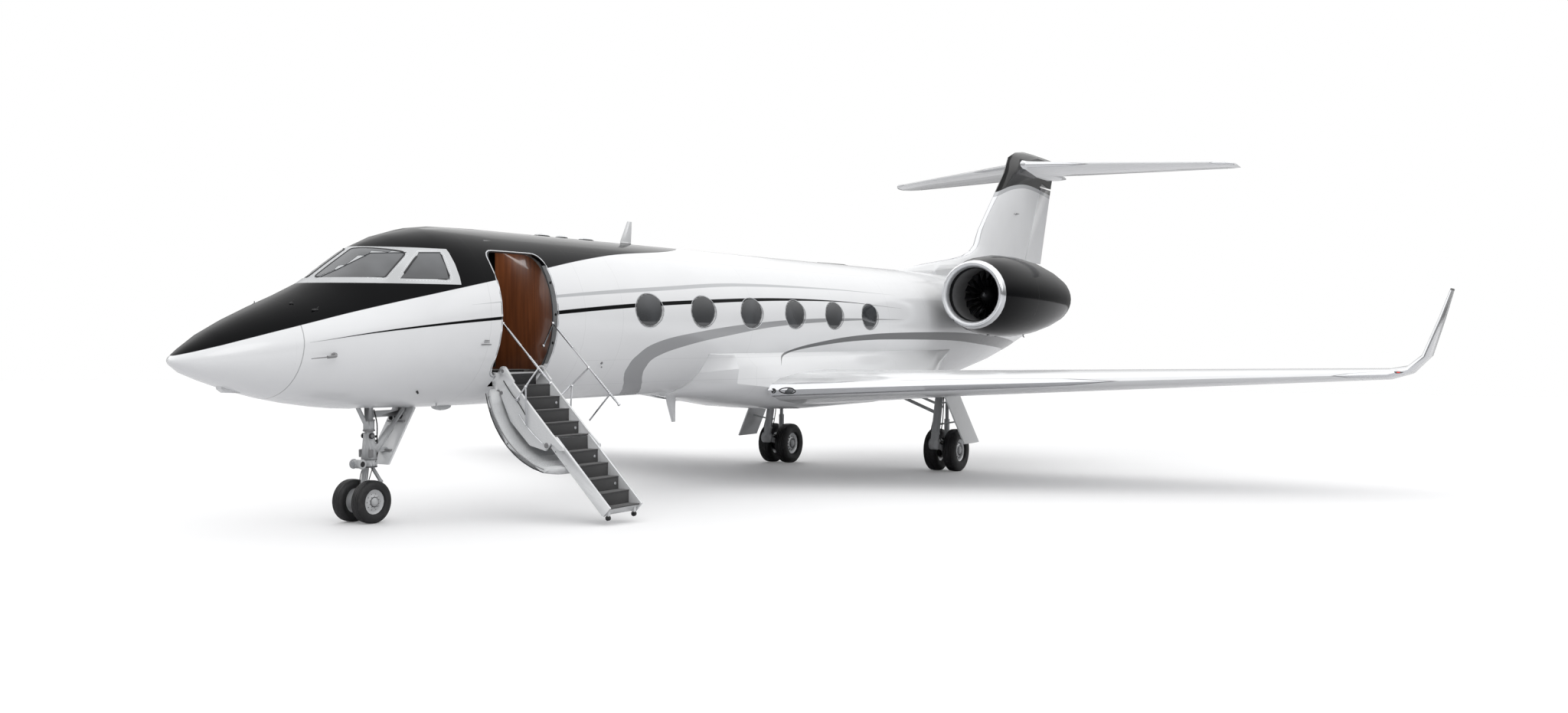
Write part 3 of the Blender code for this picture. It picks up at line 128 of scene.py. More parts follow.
class Graph:
    """A material's node tree, built by calls that return sockets."""

    def __init__(self, name: str) -> None:
        """Start an empty material with one surface shader.

        Args:
            name: Name of the material.
        """
        self.material = bpy.data.materials.new(name)
        self.material.use_nodes = True
        self.nodes = self.material.node_tree.nodes
        self.links = self.material.node_tree.links
        self.nodes.clear()
        self.shader = self.nodes.new("ShaderNodeBsdfPrincipled")
        output = self.nodes.new("ShaderNodeOutputMaterial")
        self.links.new(self.shader.outputs["BSDF"], output.inputs["Surface"])
        self._object = None

    def wire(self, value, socket) -> None:
        """Link a socket or set a plain value.

        Args:
            value: Socket, number or tuple.
            socket: Input that takes it.
        """
        if isinstance(value, bpy.types.NodeSocket):
            self.links.new(value, socket)
        else:
            socket.default_value = value

    def math(self, operation: str, a, b=0.0, clamp: bool = False):
        """Return the result of a Math node.

        Args:
            operation: Name of the operation.
            a: First value.
            b: Second value.
            clamp: Keep the result between 0 and 1.
        """
        node = self.nodes.new("ShaderNodeMath")
        node.operation = operation
        node.use_clamp = clamp
        self.wire(a, node.inputs[0])
        if node.inputs[1].enabled:
            self.wire(b, node.inputs[1])
        return node.outputs[0]

    def place(self):
        """Return the Object coordinate socket."""
        if self._object is None:
            self._object = self.nodes.new("ShaderNodeTexCoord").outputs["Object"]
        return self._object

    def axes(self):
        """Return the world-frame x, y and z sockets of the surface point."""
        split = self.nodes.new("ShaderNodeSeparateXYZ")
        self.links.new(self.place(), split.inputs[0])
        return split.outputs

    def air(self):
        """Return station, side and level sockets in the aircraft's own axes."""
        x, y, z = self.axes()
        dx = self.math("SUBTRACT", x, DATUM.x)
        dz = self.math("SUBTRACT", z, DATUM.z)
        cos, sin = math.cos(STANCE), math.sin(STANCE)
        station = self.math("ADD", self.math("MULTIPLY", dx, cos), self.math("MULTIPLY", dz, sin))
        level = self.math("SUBTRACT", self.math("MULTIPLY", dz, cos), self.math("MULTIPLY", dx, sin))
        return station, y, level

    def stretched(self, scale: Point, turn: Point = (0.0, 0.0, 0.0)):
        """Return Object coordinates scaled and turned.

        Args:
            scale: Scale along each axis.
            turn: Euler angles in radians.
        """
        node = self.nodes.new("ShaderNodeMapping")
        self.links.new(self.place(), node.inputs["Vector"])
        node.inputs["Scale"].default_value = scale
        node.inputs["Rotation"].default_value = turn
        return node.outputs[0]

    def noise(self, scale: float, detail: float = 3.0, vector=None, roughness: float = 0.5):
        """Return a noise value between 0 and 1.

        Args:
            scale: Scale of the pattern.
            detail: Octaves of the pattern.
            vector: Coordinates, or None for Object coordinates.
            roughness: Weight of the finer octaves.
        """
        node = self.nodes.new("ShaderNodeTexNoise")
        node.inputs["Scale"].default_value = scale
        node.inputs["Detail"].default_value = detail
        node.inputs["Roughness"].default_value = roughness
        self.links.new(vector if vector is not None else self.place(), node.inputs["Vector"])
        return node.outputs["Fac"]

    def remap(self, value, low: float, high: float, out_low=0.0, out_high=1.0):
        """Return value mapped smoothly from one range to another.

        Args:
            value: Socket to map.
            low: Start of the input range.
            high: End of the input range.
            out_low: Result at low.
            out_high: Result at high.
        """
        node = self.nodes.new("ShaderNodeMapRange")
        node.interpolation_type = "SMOOTHSTEP"
        self.wire(value, node.inputs["Value"])
        for name, number in (("From Min", low), ("From Max", high), ("To Min", out_low), ("To Max", out_high)):
            node.inputs[name].default_value = number
        return node.outputs["Result"]

    def mix(self, amount, a, b):
        """Return a colour between a and b.

        Args:
            amount: Share of b.
            a: First colour.
            b: Second colour.
        """
        node = self.nodes.new("ShaderNodeMix")
        node.data_type = "RGBA"
        self.wire(amount, node.inputs["Factor"])
        self.wire(_rgba(a), node.inputs["A"])
        self.wire(_rgba(b), node.inputs["B"])
        return node.outputs["Result"]

    def curve(self, value, points: Outline, domain: tuple[float, float], image: tuple[float, float]):
        """Return a value read off a curve drawn through points.

        Args:
            value: Socket read along the curve.
            points: Pairs of input and result.
            domain: Input range of the curve.
            image: Result range of the curve.
        """
        node = self.nodes.new("ShaderNodeFloatCurve")
        drawn = node.mapping.curves[0].points
        scaled = [
            ((a - domain[0]) / (domain[1] - domain[0]), (b - image[0]) / (image[1] - image[0]))
            for a, b in points
        ]
        drawn[0].location, drawn[1].location = scaled[0], scaled[-1]
        for place in scaled[1:-1]:
            drawn.new(*place)
        for point in drawn:
            point.handle_type = "AUTO_CLAMPED"
        node.mapping.update()
        unit = self.math("DIVIDE", self.math("SUBTRACT", value, domain[0]), domain[1] - domain[0], clamp=True)
        self.wire(unit, node.inputs["Value"])
        span = self.math("MULTIPLY", node.outputs[0], image[1] - image[0])
        return self.math("ADD", span, image[0])

    def above(self, value, limit, soft: float = 0.004):
        """Return 1 where value is over limit, with a soft edge.

        Args:
            value: Socket compared.
            limit: Socket or number it is compared with.
            soft: Half width of the edge.
        """
        return self.remap(self.math("SUBTRACT", value, limit), -soft, soft)

    def both(self, *masks):
        """Return the product of masks."""
        result = masks[0]
        for mask in masks[1:]:
            result = self.math("MULTIPLY", result, mask)
        return result

    def line(self, value, where: float, width: float, soft: float = 0.002):
        """Return 1 on a thin line where value is near a number.

        Args:
            value: Socket compared.
            where: Place of the line.
            width: Full width of the line.
            soft: Softness of its edges.
        """
        away = self.math("ABSOLUTE", self.math("SUBTRACT", value, where))
        return self.remap(away, width / 2, width / 2 + soft, 1.0, 0.0)

    def bump(self, height, strength: float, distance: float) -> None:
        """Raise the surface by a height socket.

        Args:
            height: Height between 0 and 1.
            strength: Strength of the effect.
            distance: Depth in metres.
        """
        node = self.nodes.new("ShaderNodeBump")
        node.inputs["Strength"].default_value = strength
        node.inputs["Distance"].default_value = distance
        self.links.new(height, node.inputs["Height"])
        self.links.new(node.outputs[0], self.shader.inputs["Normal"])

    def surface(self, **sockets) -> bpy.types.Material:
        """Set the shader's sockets by name, spaces written as underscores, and return the material."""
        for name, value in sockets.items():
            socket = self.shader.inputs[name.replace("_", " ")]
            self.wire(_rgba(value) if socket.type == "RGBA" else value, socket)
        return self.material


def _rgba(value):
    """Return a colour tuple with its alpha, or the socket as it is."""
    if isinstance(value, bpy.types.NodeSocket):
        return value
    return (*value[:3], 1.0)


# Finishes

@dataclass(frozen=True)
class Enamel:
    """Gloss or satin paint with a faint unevenness of tone and of the clear coat."""

    name: str
    colour: Paint
    roughness: float = 0.30
    coat: float = 0.5
    tone: float = 0.06
    grain: float = 3.0
    metallic: float = 0.0

    def make(self) -> bpy.types.Material:
        """Return the material."""
        graph = Graph(self.name)
        cloud = graph.noise(self.grain, 4.0)
        fine = graph.noise(self.grain * 30.0, 2.0)
        dark = tuple(c * (1.0 - self.tone) for c in self.colour)
        tint = graph.mix(graph.remap(cloud, 0.3, 0.7), dark, self.colour)
        rough = graph.remap(fine, 0.2, 0.8, self.roughness * 0.85, self.roughness * 1.15)
        graph.bump(fine, 0.06, 0.0006)
        return graph.surface(
            Base_Color=tint, Roughness=rough, Metallic=self.metallic, Coat_Weight=self.coat, Coat_Roughness=0.06,
        )


@dataclass(frozen=True)
class Metal:
    """Bare metal with a fine drawn grain along one direction."""

    name: str
    colour: Paint
    roughness: float = 0.25
    stretch: tuple[float, float, float] = (1.0, 30.0, 30.0)
    depth: float = 0.0004

    def make(self) -> bpy.types.Material:
        """Return the material."""
        graph = Graph(self.name)
        grain = graph.noise(12.0, 5.0, graph.stretched(self.stretch), 0.65)
        smear = graph.noise(1.7, 3.0)
        dark = tuple(c * 0.86 for c in self.colour)
        tint = graph.mix(graph.remap(smear, 0.35, 0.65), dark, self.colour)
        rough = graph.remap(grain, 0.3, 0.7, self.roughness * 0.75, self.roughness * 1.25)
        graph.bump(grain, 0.10, self.depth)
        return graph.surface(Base_Color=tint, Roughness=rough, Metallic=1.0)


@dataclass(frozen=True)
class Rubber:
    """Black rubber, dusty in its hollows."""

    name: str = "rubber"
    colour: Paint = (0.013, 0.013, 0.014)
    dust: Paint = (0.045, 0.043, 0.041)
    roughness: float = 0.55

    def make(self) -> bpy.types.Material:
        """Return the material."""
        graph = Graph(self.name)
        cloud = graph.noise(9.0, 5.0)
        pores = graph.noise(260.0, 2.0)
        tint = graph.mix(graph.remap(cloud, 0.52, 0.85), self.colour, self.dust)
        rough = graph.remap(cloud, 0.3, 0.7, self.roughness * 0.85, self.roughness * 1.2)
        graph.bump(pores, 0.25, 0.0008)
        return graph.surface(Base_Color=tint, Roughness=rough)


@dataclass(frozen=True)
class Glass:
    """Smoked glazing that shows a little of what is behind it."""

    name: str
    tint: Paint
    transmission: float = 0.5
    roughness: float = 0.03

    def make(self) -> bpy.types.Material:
        """Return the material."""
        graph = Graph(self.name)
        film = graph.noise(1.6, 2.0)
        tint = graph.mix(graph.remap(film, 0.35, 0.65), tuple(c * 0.55 for c in self.tint), self.tint)
        rough = graph.remap(film, 0.3, 0.8, self.roughness * 0.6, self.roughness * 1.6)
        return graph.surface(
            Base_Color=tint, Roughness=rough, Transmission_Weight=self.transmission, IOR=1.50, Coat_Weight=0.6,
            Coat_Roughness=0.02,
        )


@dataclass(frozen=True)
class Veneer:
    """Lacquered wood with an upright grain."""

    name: str = "veneer"
    dark: Paint = (0.120, 0.035, 0.012)
    light: Paint = (0.200, 0.063, 0.021)

    def make(self) -> bpy.types.Material:
        """Return the material."""
        graph = Graph(self.name)
        flow = graph.noise(5.0, 4.0, graph.stretched((4.0, 4.0, 0.22)))
        pore = graph.noise(34.0, 5.0, graph.stretched((10.0, 10.0, 0.30)), 0.7)
        broad = graph.remap(flow, 0.25, 0.75)
        tint = graph.mix(broad, self.dark, self.light)
        tint = graph.mix(graph.remap(pore, 0.45, 0.75, 0.0, 0.55), tint, tuple(c * 0.75 for c in self.dark))
        station, side, _ = graph.air()
        joint = graph.math("MAXIMUM", graph.line(side, -0.72, 0.006), graph.line(station, 4.55, 0.006))
        tint = graph.mix(graph.math("MULTIPLY", joint, 0.7), tint, (0.04, 0.012, 0.005))
        graph.bump(pore, 0.15, 0.0006)
        return graph.surface(Base_Color=tint, Roughness=0.32, Coat_Weight=0.8, Coat_Roughness=0.05)


@dataclass(frozen=True)
class Pile:
    """Short carpet pile or ribbed matting."""

    name: str
    colour: Paint
    scale: float = 220.0

    def make(self) -> bpy.types.Material:
        """Return the material."""
        graph = Graph(self.name)
        tufts = graph.noise(self.scale, 3.0, None, 0.7)
        patch = graph.noise(3.0, 3.0)
        light = tuple(min(1.0, c * 1.7) for c in self.colour)
        tint = graph.mix(graph.remap(tufts, 0.35, 0.75), self.colour, light)
        tint = graph.mix(graph.remap(patch, 0.4, 0.8, 0.0, 0.25), tint, light)
        graph.bump(tufts, 0.6, 0.003)
        return graph.surface(Base_Color=tint, Roughness=0.92, Sheen_Weight=0.25)


@dataclass(frozen=True)
class Leather:
    """Smooth upholstery leather with fine creases."""

    name: str = "leather"
    colour: Paint = (0.58, 0.52, 0.44)

    def make(self) -> bpy.types.Material:
        """Return the material."""
        graph = Graph(self.name)
        crease = graph.noise(55.0, 5.0, None, 0.6)
        patch = graph.noise(2.5, 3.0)
        dark = tuple(c * 0.82 for c in self.colour)
        tint = graph.mix(graph.remap(patch, 0.35, 0.7), dark, self.colour)
        graph.bump(crease, 0.35, 0.0015)
        return graph.surface(Base_Color=tint, Roughness=0.46)


@dataclass(frozen=True)
class Glow:
    """A lamp lens that shines faintly of its own."""

    name: str
    colour: Paint
    strength: float = 0.6

    def make(self) -> bpy.types.Material:
        """Return the material."""
        graph = Graph(self.name)
        ribs = graph.noise(90.0, 1.0)
        tint = graph.mix(graph.remap(ribs, 0.3, 0.7), self.colour, tuple(c * 0.8 for c in self.colour))
        return graph.surface(
            Base_Color=tint, Roughness=0.08, Emission_Color=self.colour, Emission_Strength=self.strength,
        )


@dataclass(frozen=True)
class Band:
    """A painted band that follows a spine along the hull, with a width that swells and fades.

    Both are runs of points against the station.
    """

    colour: Paint
    spine: Outline
    widths: Outline

    def mask(self, graph: Graph, station, level):
        """Return the band's mask.

        Args:
            graph: Graph that the nodes go into.
            station: Socket with the station.
            level: Socket with the level.
        """
        domain = (self.spine[0][0], self.spine[-1][0])
        middle = graph.curve(station, self.spine, domain, LEVELS)
        width = graph.curve(station, self.widths, domain, (0.0, WIDEST_BAND))
        off = graph.math("ABSOLUTE", graph.math("SUBTRACT", level, middle))
        return graph.both(
            graph.math("SUBTRACT", 1.0, graph.above(off, graph.math("MULTIPLY", width, 0.5))),
            graph.above(station, domain[0]),
            graph.math("SUBTRACT", 1.0, graph.above(station, domain[1])),
        )


WIDEST_BAND = 0.30
LEVELS = (-1.30, 1.40)
NIGHT = (0.0032, 0.0034, 0.0040)
SILVER_GREY = (0.470, 0.480, 0.495)
MID_GREY = (0.335, 0.340, 0.350)
DARK_GREY = (0.100, 0.103, 0.108)
HULL_WHITE = (0.800, 0.808, 0.820)

# The black paint rises evenly from the nose, over the doorway, to the crown ahead of the windows
CROWN_EDGE = ((0.06, -0.50), (1.20, -0.18), (2.60, 0.16), (4.50, 0.55), (6.50, 0.90), (9.20, 1.20), (9.60, 1.33))

# The thin black line starts behind the radome, crosses the doorway and runs out behind the windows
BLACK_BAND = Band(
    NIGHT,
    ((1.35, -0.35), (2.40, -0.20), (4.50, 0.00), (8.00, 0.25), (12.50, 0.385), (15.50, 0.30)),
    ((1.35, 0.0), (3.00, 0.03), (7.00, 0.06), (10.00, 0.055), (13.50, 0.012), (15.50, 0.0)),
)

# The silver line over it starts by the doorway and fades level with the last window
LIGHT_BAND = Band(
    SILVER_GREY,
    ((3.50, 0.12), (5.20, 0.28), (7.50, 0.45), (9.60, 0.58), (12.50, 0.61), (15.40, 0.57)),
    ((3.50, 0.0), (5.20, 0.04), (8.00, 0.06), (10.00, 0.05), (13.00, 0.02), (15.40, 0.0)),
)

# The dark line hooks up off the wing fairing and widens towards the tail
DARK_BAND = Band(
    DARK_GREY,
    ((10.60, -0.77), (11.10, -0.57), (12.40, -0.39), (14.50, -0.27), (17.00, -0.255), (20.00, -0.34), (23.40, -0.53)),
    ((10.60, 0.0), (11.40, 0.045), (14.50, 0.12), (18.00, 0.18), (21.00, 0.24), (23.40, 0.22)),
)

# The wide grey sweep turns up off the belly, so its two edges are read as station along the level
SWEEP_LEVELS = (-1.25, 0.075)
SWEEP_STATIONS = (6.0, 16.0)
SWEEP_FRONT = (
    (-1.25, 7.60), (-1.00, 7.10), (-0.75, 6.85), (-0.55, 6.95), (-0.35, 7.40), (-0.20, 8.40), (-0.05, 10.00),
    (0.05, 12.00), (0.075, 13.60),
)
SWEEP_BACK = (
    (-1.25, 8.10), (-1.00, 7.55), (-0.75, 7.30), (-0.60, 7.40), (-0.42, 8.10), (-0.25, 9.30), (-0.10, 10.70),
    (0.02, 13.10), (0.075, 15.60),
)

HULL_SEAMS = (3.80, 5.62, 6.46, 9.90, 12.70, 14.90, 16.60, 18.95)
HULL_STRINGERS = (0.93, -0.62, -0.98)


@dataclass(frozen=True)
class Livery:
    """Gloss white with the sweeping bands, the black crown, panel seams and a faint handling haze."""

    name: str = "livery"
    roughness: float = 0.20

    def make(self) -> bpy.types.Material:
        """Return the material."""
        graph = Graph(self.name)
        station, across, level = graph.air()
        cloud = graph.noise(0.9, 4.0)
        tint = graph.mix(
            graph.remap(cloud, 0.30, 0.70), tuple(c * 0.975 for c in HULL_WHITE), HULL_WHITE,
        )
        seams = None
        for where in HULL_SEAMS:
            mark = graph.line(station, where, 0.006)
            seams = mark if seams is None else graph.math("MAXIMUM", seams, mark)
        for where in HULL_STRINGERS:
            run = graph.both(
                graph.line(level, where, 0.005), graph.above(station, 5.7),
                graph.math("SUBTRACT", 1.0, graph.above(station, 14.8)),
            )
            seams = graph.math("MAXIMUM", seams, run)
        radome = graph.math("ADD", station, graph.math("MULTIPLY", level, -0.09))
        ring = graph.line(radome, 1.32, 0.010)
        tint = graph.mix(graph.math("MULTIPLY", seams, 0.16), tint, (0.30, 0.30, 0.31))
        tint = graph.mix(graph.math("MULTIPLY", ring, 0.55), tint, (0.16, 0.16, 0.17))
        front = graph.curve(level, SWEEP_FRONT, SWEEP_LEVELS, SWEEP_STATIONS)
        back = graph.curve(level, SWEEP_BACK, SWEEP_LEVELS, SWEEP_STATIONS)
        sweep = graph.both(
            graph.above(station, front, 0.006),
            graph.math("SUBTRACT", 1.0, graph.above(station, back, 0.006)),
            graph.math("SUBTRACT", 1.0, graph.above(level, SWEEP_LEVELS[1], 0.003)),
        )
        tint = graph.mix(sweep, tint, MID_GREY)
        for band in (DARK_BAND, LIGHT_BAND, BLACK_BAND):
            tint = graph.mix(band.mask(graph, station, level), tint, band.colour)
        crown = graph.curve(station, CROWN_EDGE, (0.06, 9.60), LEVELS)
        cap = graph.both(graph.above(level, crown), graph.math("SUBTRACT", 1.0, graph.above(station, 9.55)))
        tint = graph.mix(cap, tint, NIGHT)
        side = graph.math("ABSOLUTE", across)
        shell = graph.math(
            "ADD", graph.math("POWER", graph.math("DIVIDE", side, 1.195), 2.0),
            graph.math("POWER", graph.math("ABSOLUTE", graph.math("DIVIDE", graph.math("ADD", level, 0.005), 1.205)), 2.0),
        )
        straight = graph.both(graph.above(station, 4.05), graph.math("SUBTRACT", 1.0, graph.above(station, 18.4)))
        inside = graph.both(straight, graph.math("SUBTRACT", 1.0, graph.above(shell, 0.90, 0.01)))
        outside = graph.both(straight, graph.above(shell, 1.025, 0.004), graph.above(level, 0.9))
        tint = graph.mix(inside, tint, (0.13, 0.125, 0.12))
        tint = graph.mix(outside, tint, (0.70, 0.71, 0.72))
        cap = graph.both(cap, graph.math("SUBTRACT", 1.0, outside))
        haze = graph.noise(6.0, 5.0)
        rough = graph.remap(haze, 0.3, 0.75, self.roughness * 0.85, self.roughness * 1.25)
        rough = graph.math("MULTIPLY", rough, graph.remap(cap, 0.0, 1.0, 1.0, 0.55))
        gap = graph.math("MAXIMUM", seams, ring)
        graph.bump(graph.math("SUBTRACT", 1.0, gap), 0.20, 0.002)
        stripe = BLACK_BAND.mask(graph, station, level)
        dark = graph.math("MAXIMUM", cap, stripe)
        return graph.surface(
            Base_Color=tint, Roughness=rough, Specular_IOR_Level=graph.remap(dark, 0.0, 1.0, 0.5, 0.07),
            Coat_Weight=graph.remap(dark, 0.0, 1.0, 0.40, 0.0), Coat_Roughness=0.03,
        )


@dataclass(frozen=True)
class LeadingEdge:
    """Wing and tail paint with a polished strip along the leading edge and dark control gaps.

    Sweep holds (reach, station) points of the leading edge, read sideways or, for the fin, upwards.
    """

    name: str
    sweep: Outline
    strip: float
    upright: bool = False
    caps: Callable | None = None

    def make(self) -> bpy.types.Material:
        """Return the material."""
        graph = Graph(self.name)
        station, side, level = graph.air()
        reach = level if self.upright else graph.math("ABSOLUTE", side)
        domain = (self.sweep[0][0], self.sweep[-1][0])
        stations = (min(s for _, s in self.sweep), max(s for _, s in self.sweep))
        edge = graph.curve(reach, self.sweep, domain, stations)
        back = graph.math("SUBTRACT", station, edge)
        polished = graph.math("SUBTRACT", 1.0, graph.above(back, self.strip, 0.003))
        cloud = graph.noise(1.1, 4.0)
        tint = graph.mix(graph.remap(cloud, 0.3, 0.7), tuple(c * 0.97 for c in HULL_WHITE), HULL_WHITE)
        seam = graph.line(back, self.strip, 0.008)
        tint = graph.mix(polished, tint, (0.74, 0.75, 0.77))
        tint = graph.mix(graph.math("MULTIPLY", seam, 0.7), tint, (0.10, 0.10, 0.11))
        if self.caps is not None:
            tint = self.caps(graph, tint, station, level)
        grain = graph.noise(8.0, 4.0, graph.stretched((2.0, 20.0, 20.0)))
        rough = graph.remap(grain, 0.3, 0.7, 0.17, 0.24)
        graph.bump(graph.math("SUBTRACT", 1.0, seam), 0.2, 0.002)
        return graph.surface(Base_Color=tint, Roughness=rough, Metallic=polished, Coat_Weight=0.25, Coat_Roughness=0.04)


def fin_cap(graph: Graph, tint, station, level):
    """Return the fin's colour with its black cap and the grey band under it.

    Args:
        graph: Graph that the nodes go into.
        tint: Colour so far.
        station: Socket with the station.
        level: Socket with the level.
    """
    band = graph.curve(station, ((23.0, 3.40), (24.2, 3.72), (25.2, 3.80), (27.3, 3.70)), (23.0, 27.3), (3.0, 4.0))
    over = graph.above(level, band)
    grey = graph.above(level, graph.math("SUBTRACT", band, 0.10))
    tint = graph.mix(grey, tint, SILVER_GREY)
    return graph.mix(over, tint, NIGHT)


def winglet_tip(graph: Graph, tint, station, level):
    """Return the wing's colour with the dark cap of the winglet's tip."""
    return graph.mix(graph.above(level, 0.485), tint, (0.03, 0.03, 0.032))


@dataclass(frozen=True)
class Cowl:
    """Engine cowl: black paint behind a polished lip, a dark ring and a grey liner inside."""

    name: str
    side: Side
    axis_level: float = 0.60
    axis_out: float = 2.15
    intake: float = 16.70
    lip: float = 0.16

    def make(self) -> bpy.types.Material:
        """Return the material."""
        graph = Graph(self.name)
        station, side, level = graph.air()
        along = graph.math("SUBTRACT", station, self.intake)
        across = graph.math("SUBTRACT", side, self.side.value * self.axis_out)
        rise = graph.math("SUBTRACT", level, self.axis_level)
        radius = graph.math(
            "SQRT",
            graph.math("ADD", graph.math("MULTIPLY", across, across), graph.math("MULTIPLY", rise, rise)),
        )
        outside = graph.above(radius, graph.math("ADD", 0.64, graph.math("MULTIPLY", 0.0, along)), 0.004)
        rear = graph.above(along, 2.6)
        outside = graph.math("MAXIMUM", outside, graph.both(rear, graph.above(radius, 0.50)))
        polished = graph.math("SUBTRACT", 1.0, graph.above(along, self.lip))
        ring = graph.both(
            graph.math("SUBTRACT", 1.0, graph.above(along, 0.27)), graph.above(along, 0.10),
            graph.math("SUBTRACT", 1.0, outside),
        )
        grain = graph.noise(14.0, 4.0, graph.stretched((30.0, 1.0, 1.0)))
        liner = graph.mix(graph.remap(grain, 0.3, 0.7), (0.17, 0.17, 0.175), (0.22, 0.22, 0.225))
        hot = graph.above(along, 3.2)
        liner = graph.mix(hot, liner, (0.035, 0.033, 0.031))
        tint = graph.mix(outside, liner, NIGHT)
        tint = graph.mix(ring, tint, (0.012, 0.012, 0.013))
        bright = graph.mix(graph.remap(grain, 0.3, 0.7), (0.70, 0.71, 0.73), (0.80, 0.81, 0.83))
        tint = graph.mix(polished, tint, bright)
        seam = graph.math("MAXIMUM", graph.line(along, self.lip, 0.008), graph.line(along, 1.62, 0.008))
        seam = graph.math("MAXIMUM", seam, graph.line(along, 3.25, 0.008))
        tint = graph.mix(graph.math("MULTIPLY", seam, 0.5), tint, (0.05, 0.05, 0.05))
        metallic = graph.math("MAXIMUM", polished, graph.math("MULTIPLY", ring, 0.2))
        rough = graph.math(
            "ADD", graph.remap(outside, 0.0, 1.0, 0.45, 0.11), graph.math("MULTIPLY", polished, 0.04),
        )
        graph.bump(graph.math("SUBTRACT", 1.0, seam), 0.2, 0.002)
        return graph.surface(
            Base_Color=tint, Roughness=rough, Metallic=metallic,
            Specular_IOR_Level=graph.remap(outside, 0.0, 1.0, 0.4, 0.07),
        )


WING_EDGE = ((0.0, 9.45), (1.32, 10.15), (3.60, 11.42), (10.25, 15.10), (10.52, 15.42), (10.75, 15.90), (11.05, 17.30))
TAIL_EDGE = ((0.0, 24.75), (4.75, 27.00), (4.95, 27.40))
FIN_EDGE = (
    (0.80, 16.60), (1.18, 17.10), (1.38, 18.67), (1.59, 20.34), (1.70, 21.02), (1.84, 21.50), (2.01, 21.79),
    (2.41, 22.07), (4.00, 23.75), (4.45, 24.05), (4.70, 24.60),
)


class Finishes:
    """Every finish of the scene, each made once."""

    def __init__(self) -> None:
        """Make the materials."""
        white = (0.78, 0.79, 0.80)
        self.livery = Livery().make()
        self.white = Enamel("white_enamel", white, 0.22, 0.6, 0.03).make()
        self.stair = Enamel("stair_enamel", (0.70, 0.71, 0.72), 0.26, 0.5, 0.04).make()
        self.panel = Enamel("stair_inner_panel", (0.46, 0.47, 0.48), 0.35, 0.2, 0.06).make()
        self.gear = Enamel("gear_enamel", (0.50, 0.51, 0.52), 0.38, 0.25, 0.08, 8.0).make()
        self.disc = Enamel("grey_cap", (0.22, 0.22, 0.225), 0.35, 0.2, 0.05).make()
        self.wing = LeadingEdge("wing_paint", WING_EDGE, 0.15, False, winglet_tip).make()
        self.tail = LeadingEdge("tailplane_paint", TAIL_EDGE, 0.10).make()
        self.fin = LeadingEdge("fin_paint", FIN_EDGE, 0.10, True, fin_cap).make()
        self.cowls = {side: Cowl(f"cowl_{side.label}", side).make() for side in Side}
        self.black = Enamel("black_gloss", (0.010, 0.011, 0.012), 0.12, 0.6, 0.10).make()
        self.metal = Metal("bare_metal", (0.60, 0.61, 0.63), 0.28).make()
        self.jamb = Enamel("doorway_jamb", (0.42, 0.43, 0.44), 0.30, 0.3, 0.08, 6.0, 0.4).make()
        self.hub = Enamel("hub_enamel", (0.56, 0.57, 0.58), 0.32, 0.3, 0.06, 9.0).make()
        self.frame = Metal("windscreen_frame", (0.52, 0.53, 0.54), 0.36, (3.0, 30.0, 3.0)).make()
        self.polished = Metal("polished_metal", (0.80, 0.81, 0.83), 0.10, (1.0, 10.0, 10.0), 0.0002).make()
        self.rail = Metal("rail_tube", (0.62, 0.63, 0.65), 0.22, (1.0, 1.0, 1.0)).make()
        self.wheel = Metal("wheel_alloy", (0.60, 0.61, 0.62), 0.34, (6.0, 6.0, 6.0)).make()
        self.fan = Metal("fan_blade", (0.085, 0.086, 0.090), 0.36, (10.0, 2.0, 2.0)).make()
        self.engine = Metal("engine_core", (0.11, 0.105, 0.10), 0.48).make()
        self.rubber = Rubber().make()
        self.seal = Enamel("door_seal", (0.030, 0.030, 0.032), 0.55, 0.0, 0.15, 14.0).make()
        self.hose = Enamel("hose", (0.012, 0.012, 0.013), 0.42, 0.1, 0.15, 40.0).make()
        self.glass = Glass("cabin_glass", (0.070, 0.074, 0.080), 0.06).make()
        self.screen = Glass("windscreen_glass", (0.105, 0.110, 0.118), 0.0).make()
        self.lens = Glass("lamp_lens", (0.80, 0.82, 0.85), 0.9).make()
        self.wood = Veneer().make()
        self.carpet = Pile("carpet", (0.052, 0.050, 0.048)).make()
        self.tread = Pile("tread", (0.030, 0.030, 0.031), 300.0).make()
        self.leather = Leather().make()
        self.cockpit = Enamel("cockpit_grey", (0.045, 0.046, 0.050), 0.6, 0.0, 0.2, 20.0).make()
        self.lining = Enamel("lining", (0.34, 0.33, 0.31), 0.6, 0.0, 0.05, 10.0).make()
        self.red_lamp = Glow("red_lamp", (0.60, 0.03, 0.02)).make()
        self.green_lamp = Glow("green_lamp", (0.02, 0.45, 0.12)).make()
        # Near-black finish painted as the shade inside holes and slots
        self.dark = Enamel("dark_opening", (0.010, 0.010, 0.011), 0.6, 0.0, 0.2, 20.0).make()


# Shapes

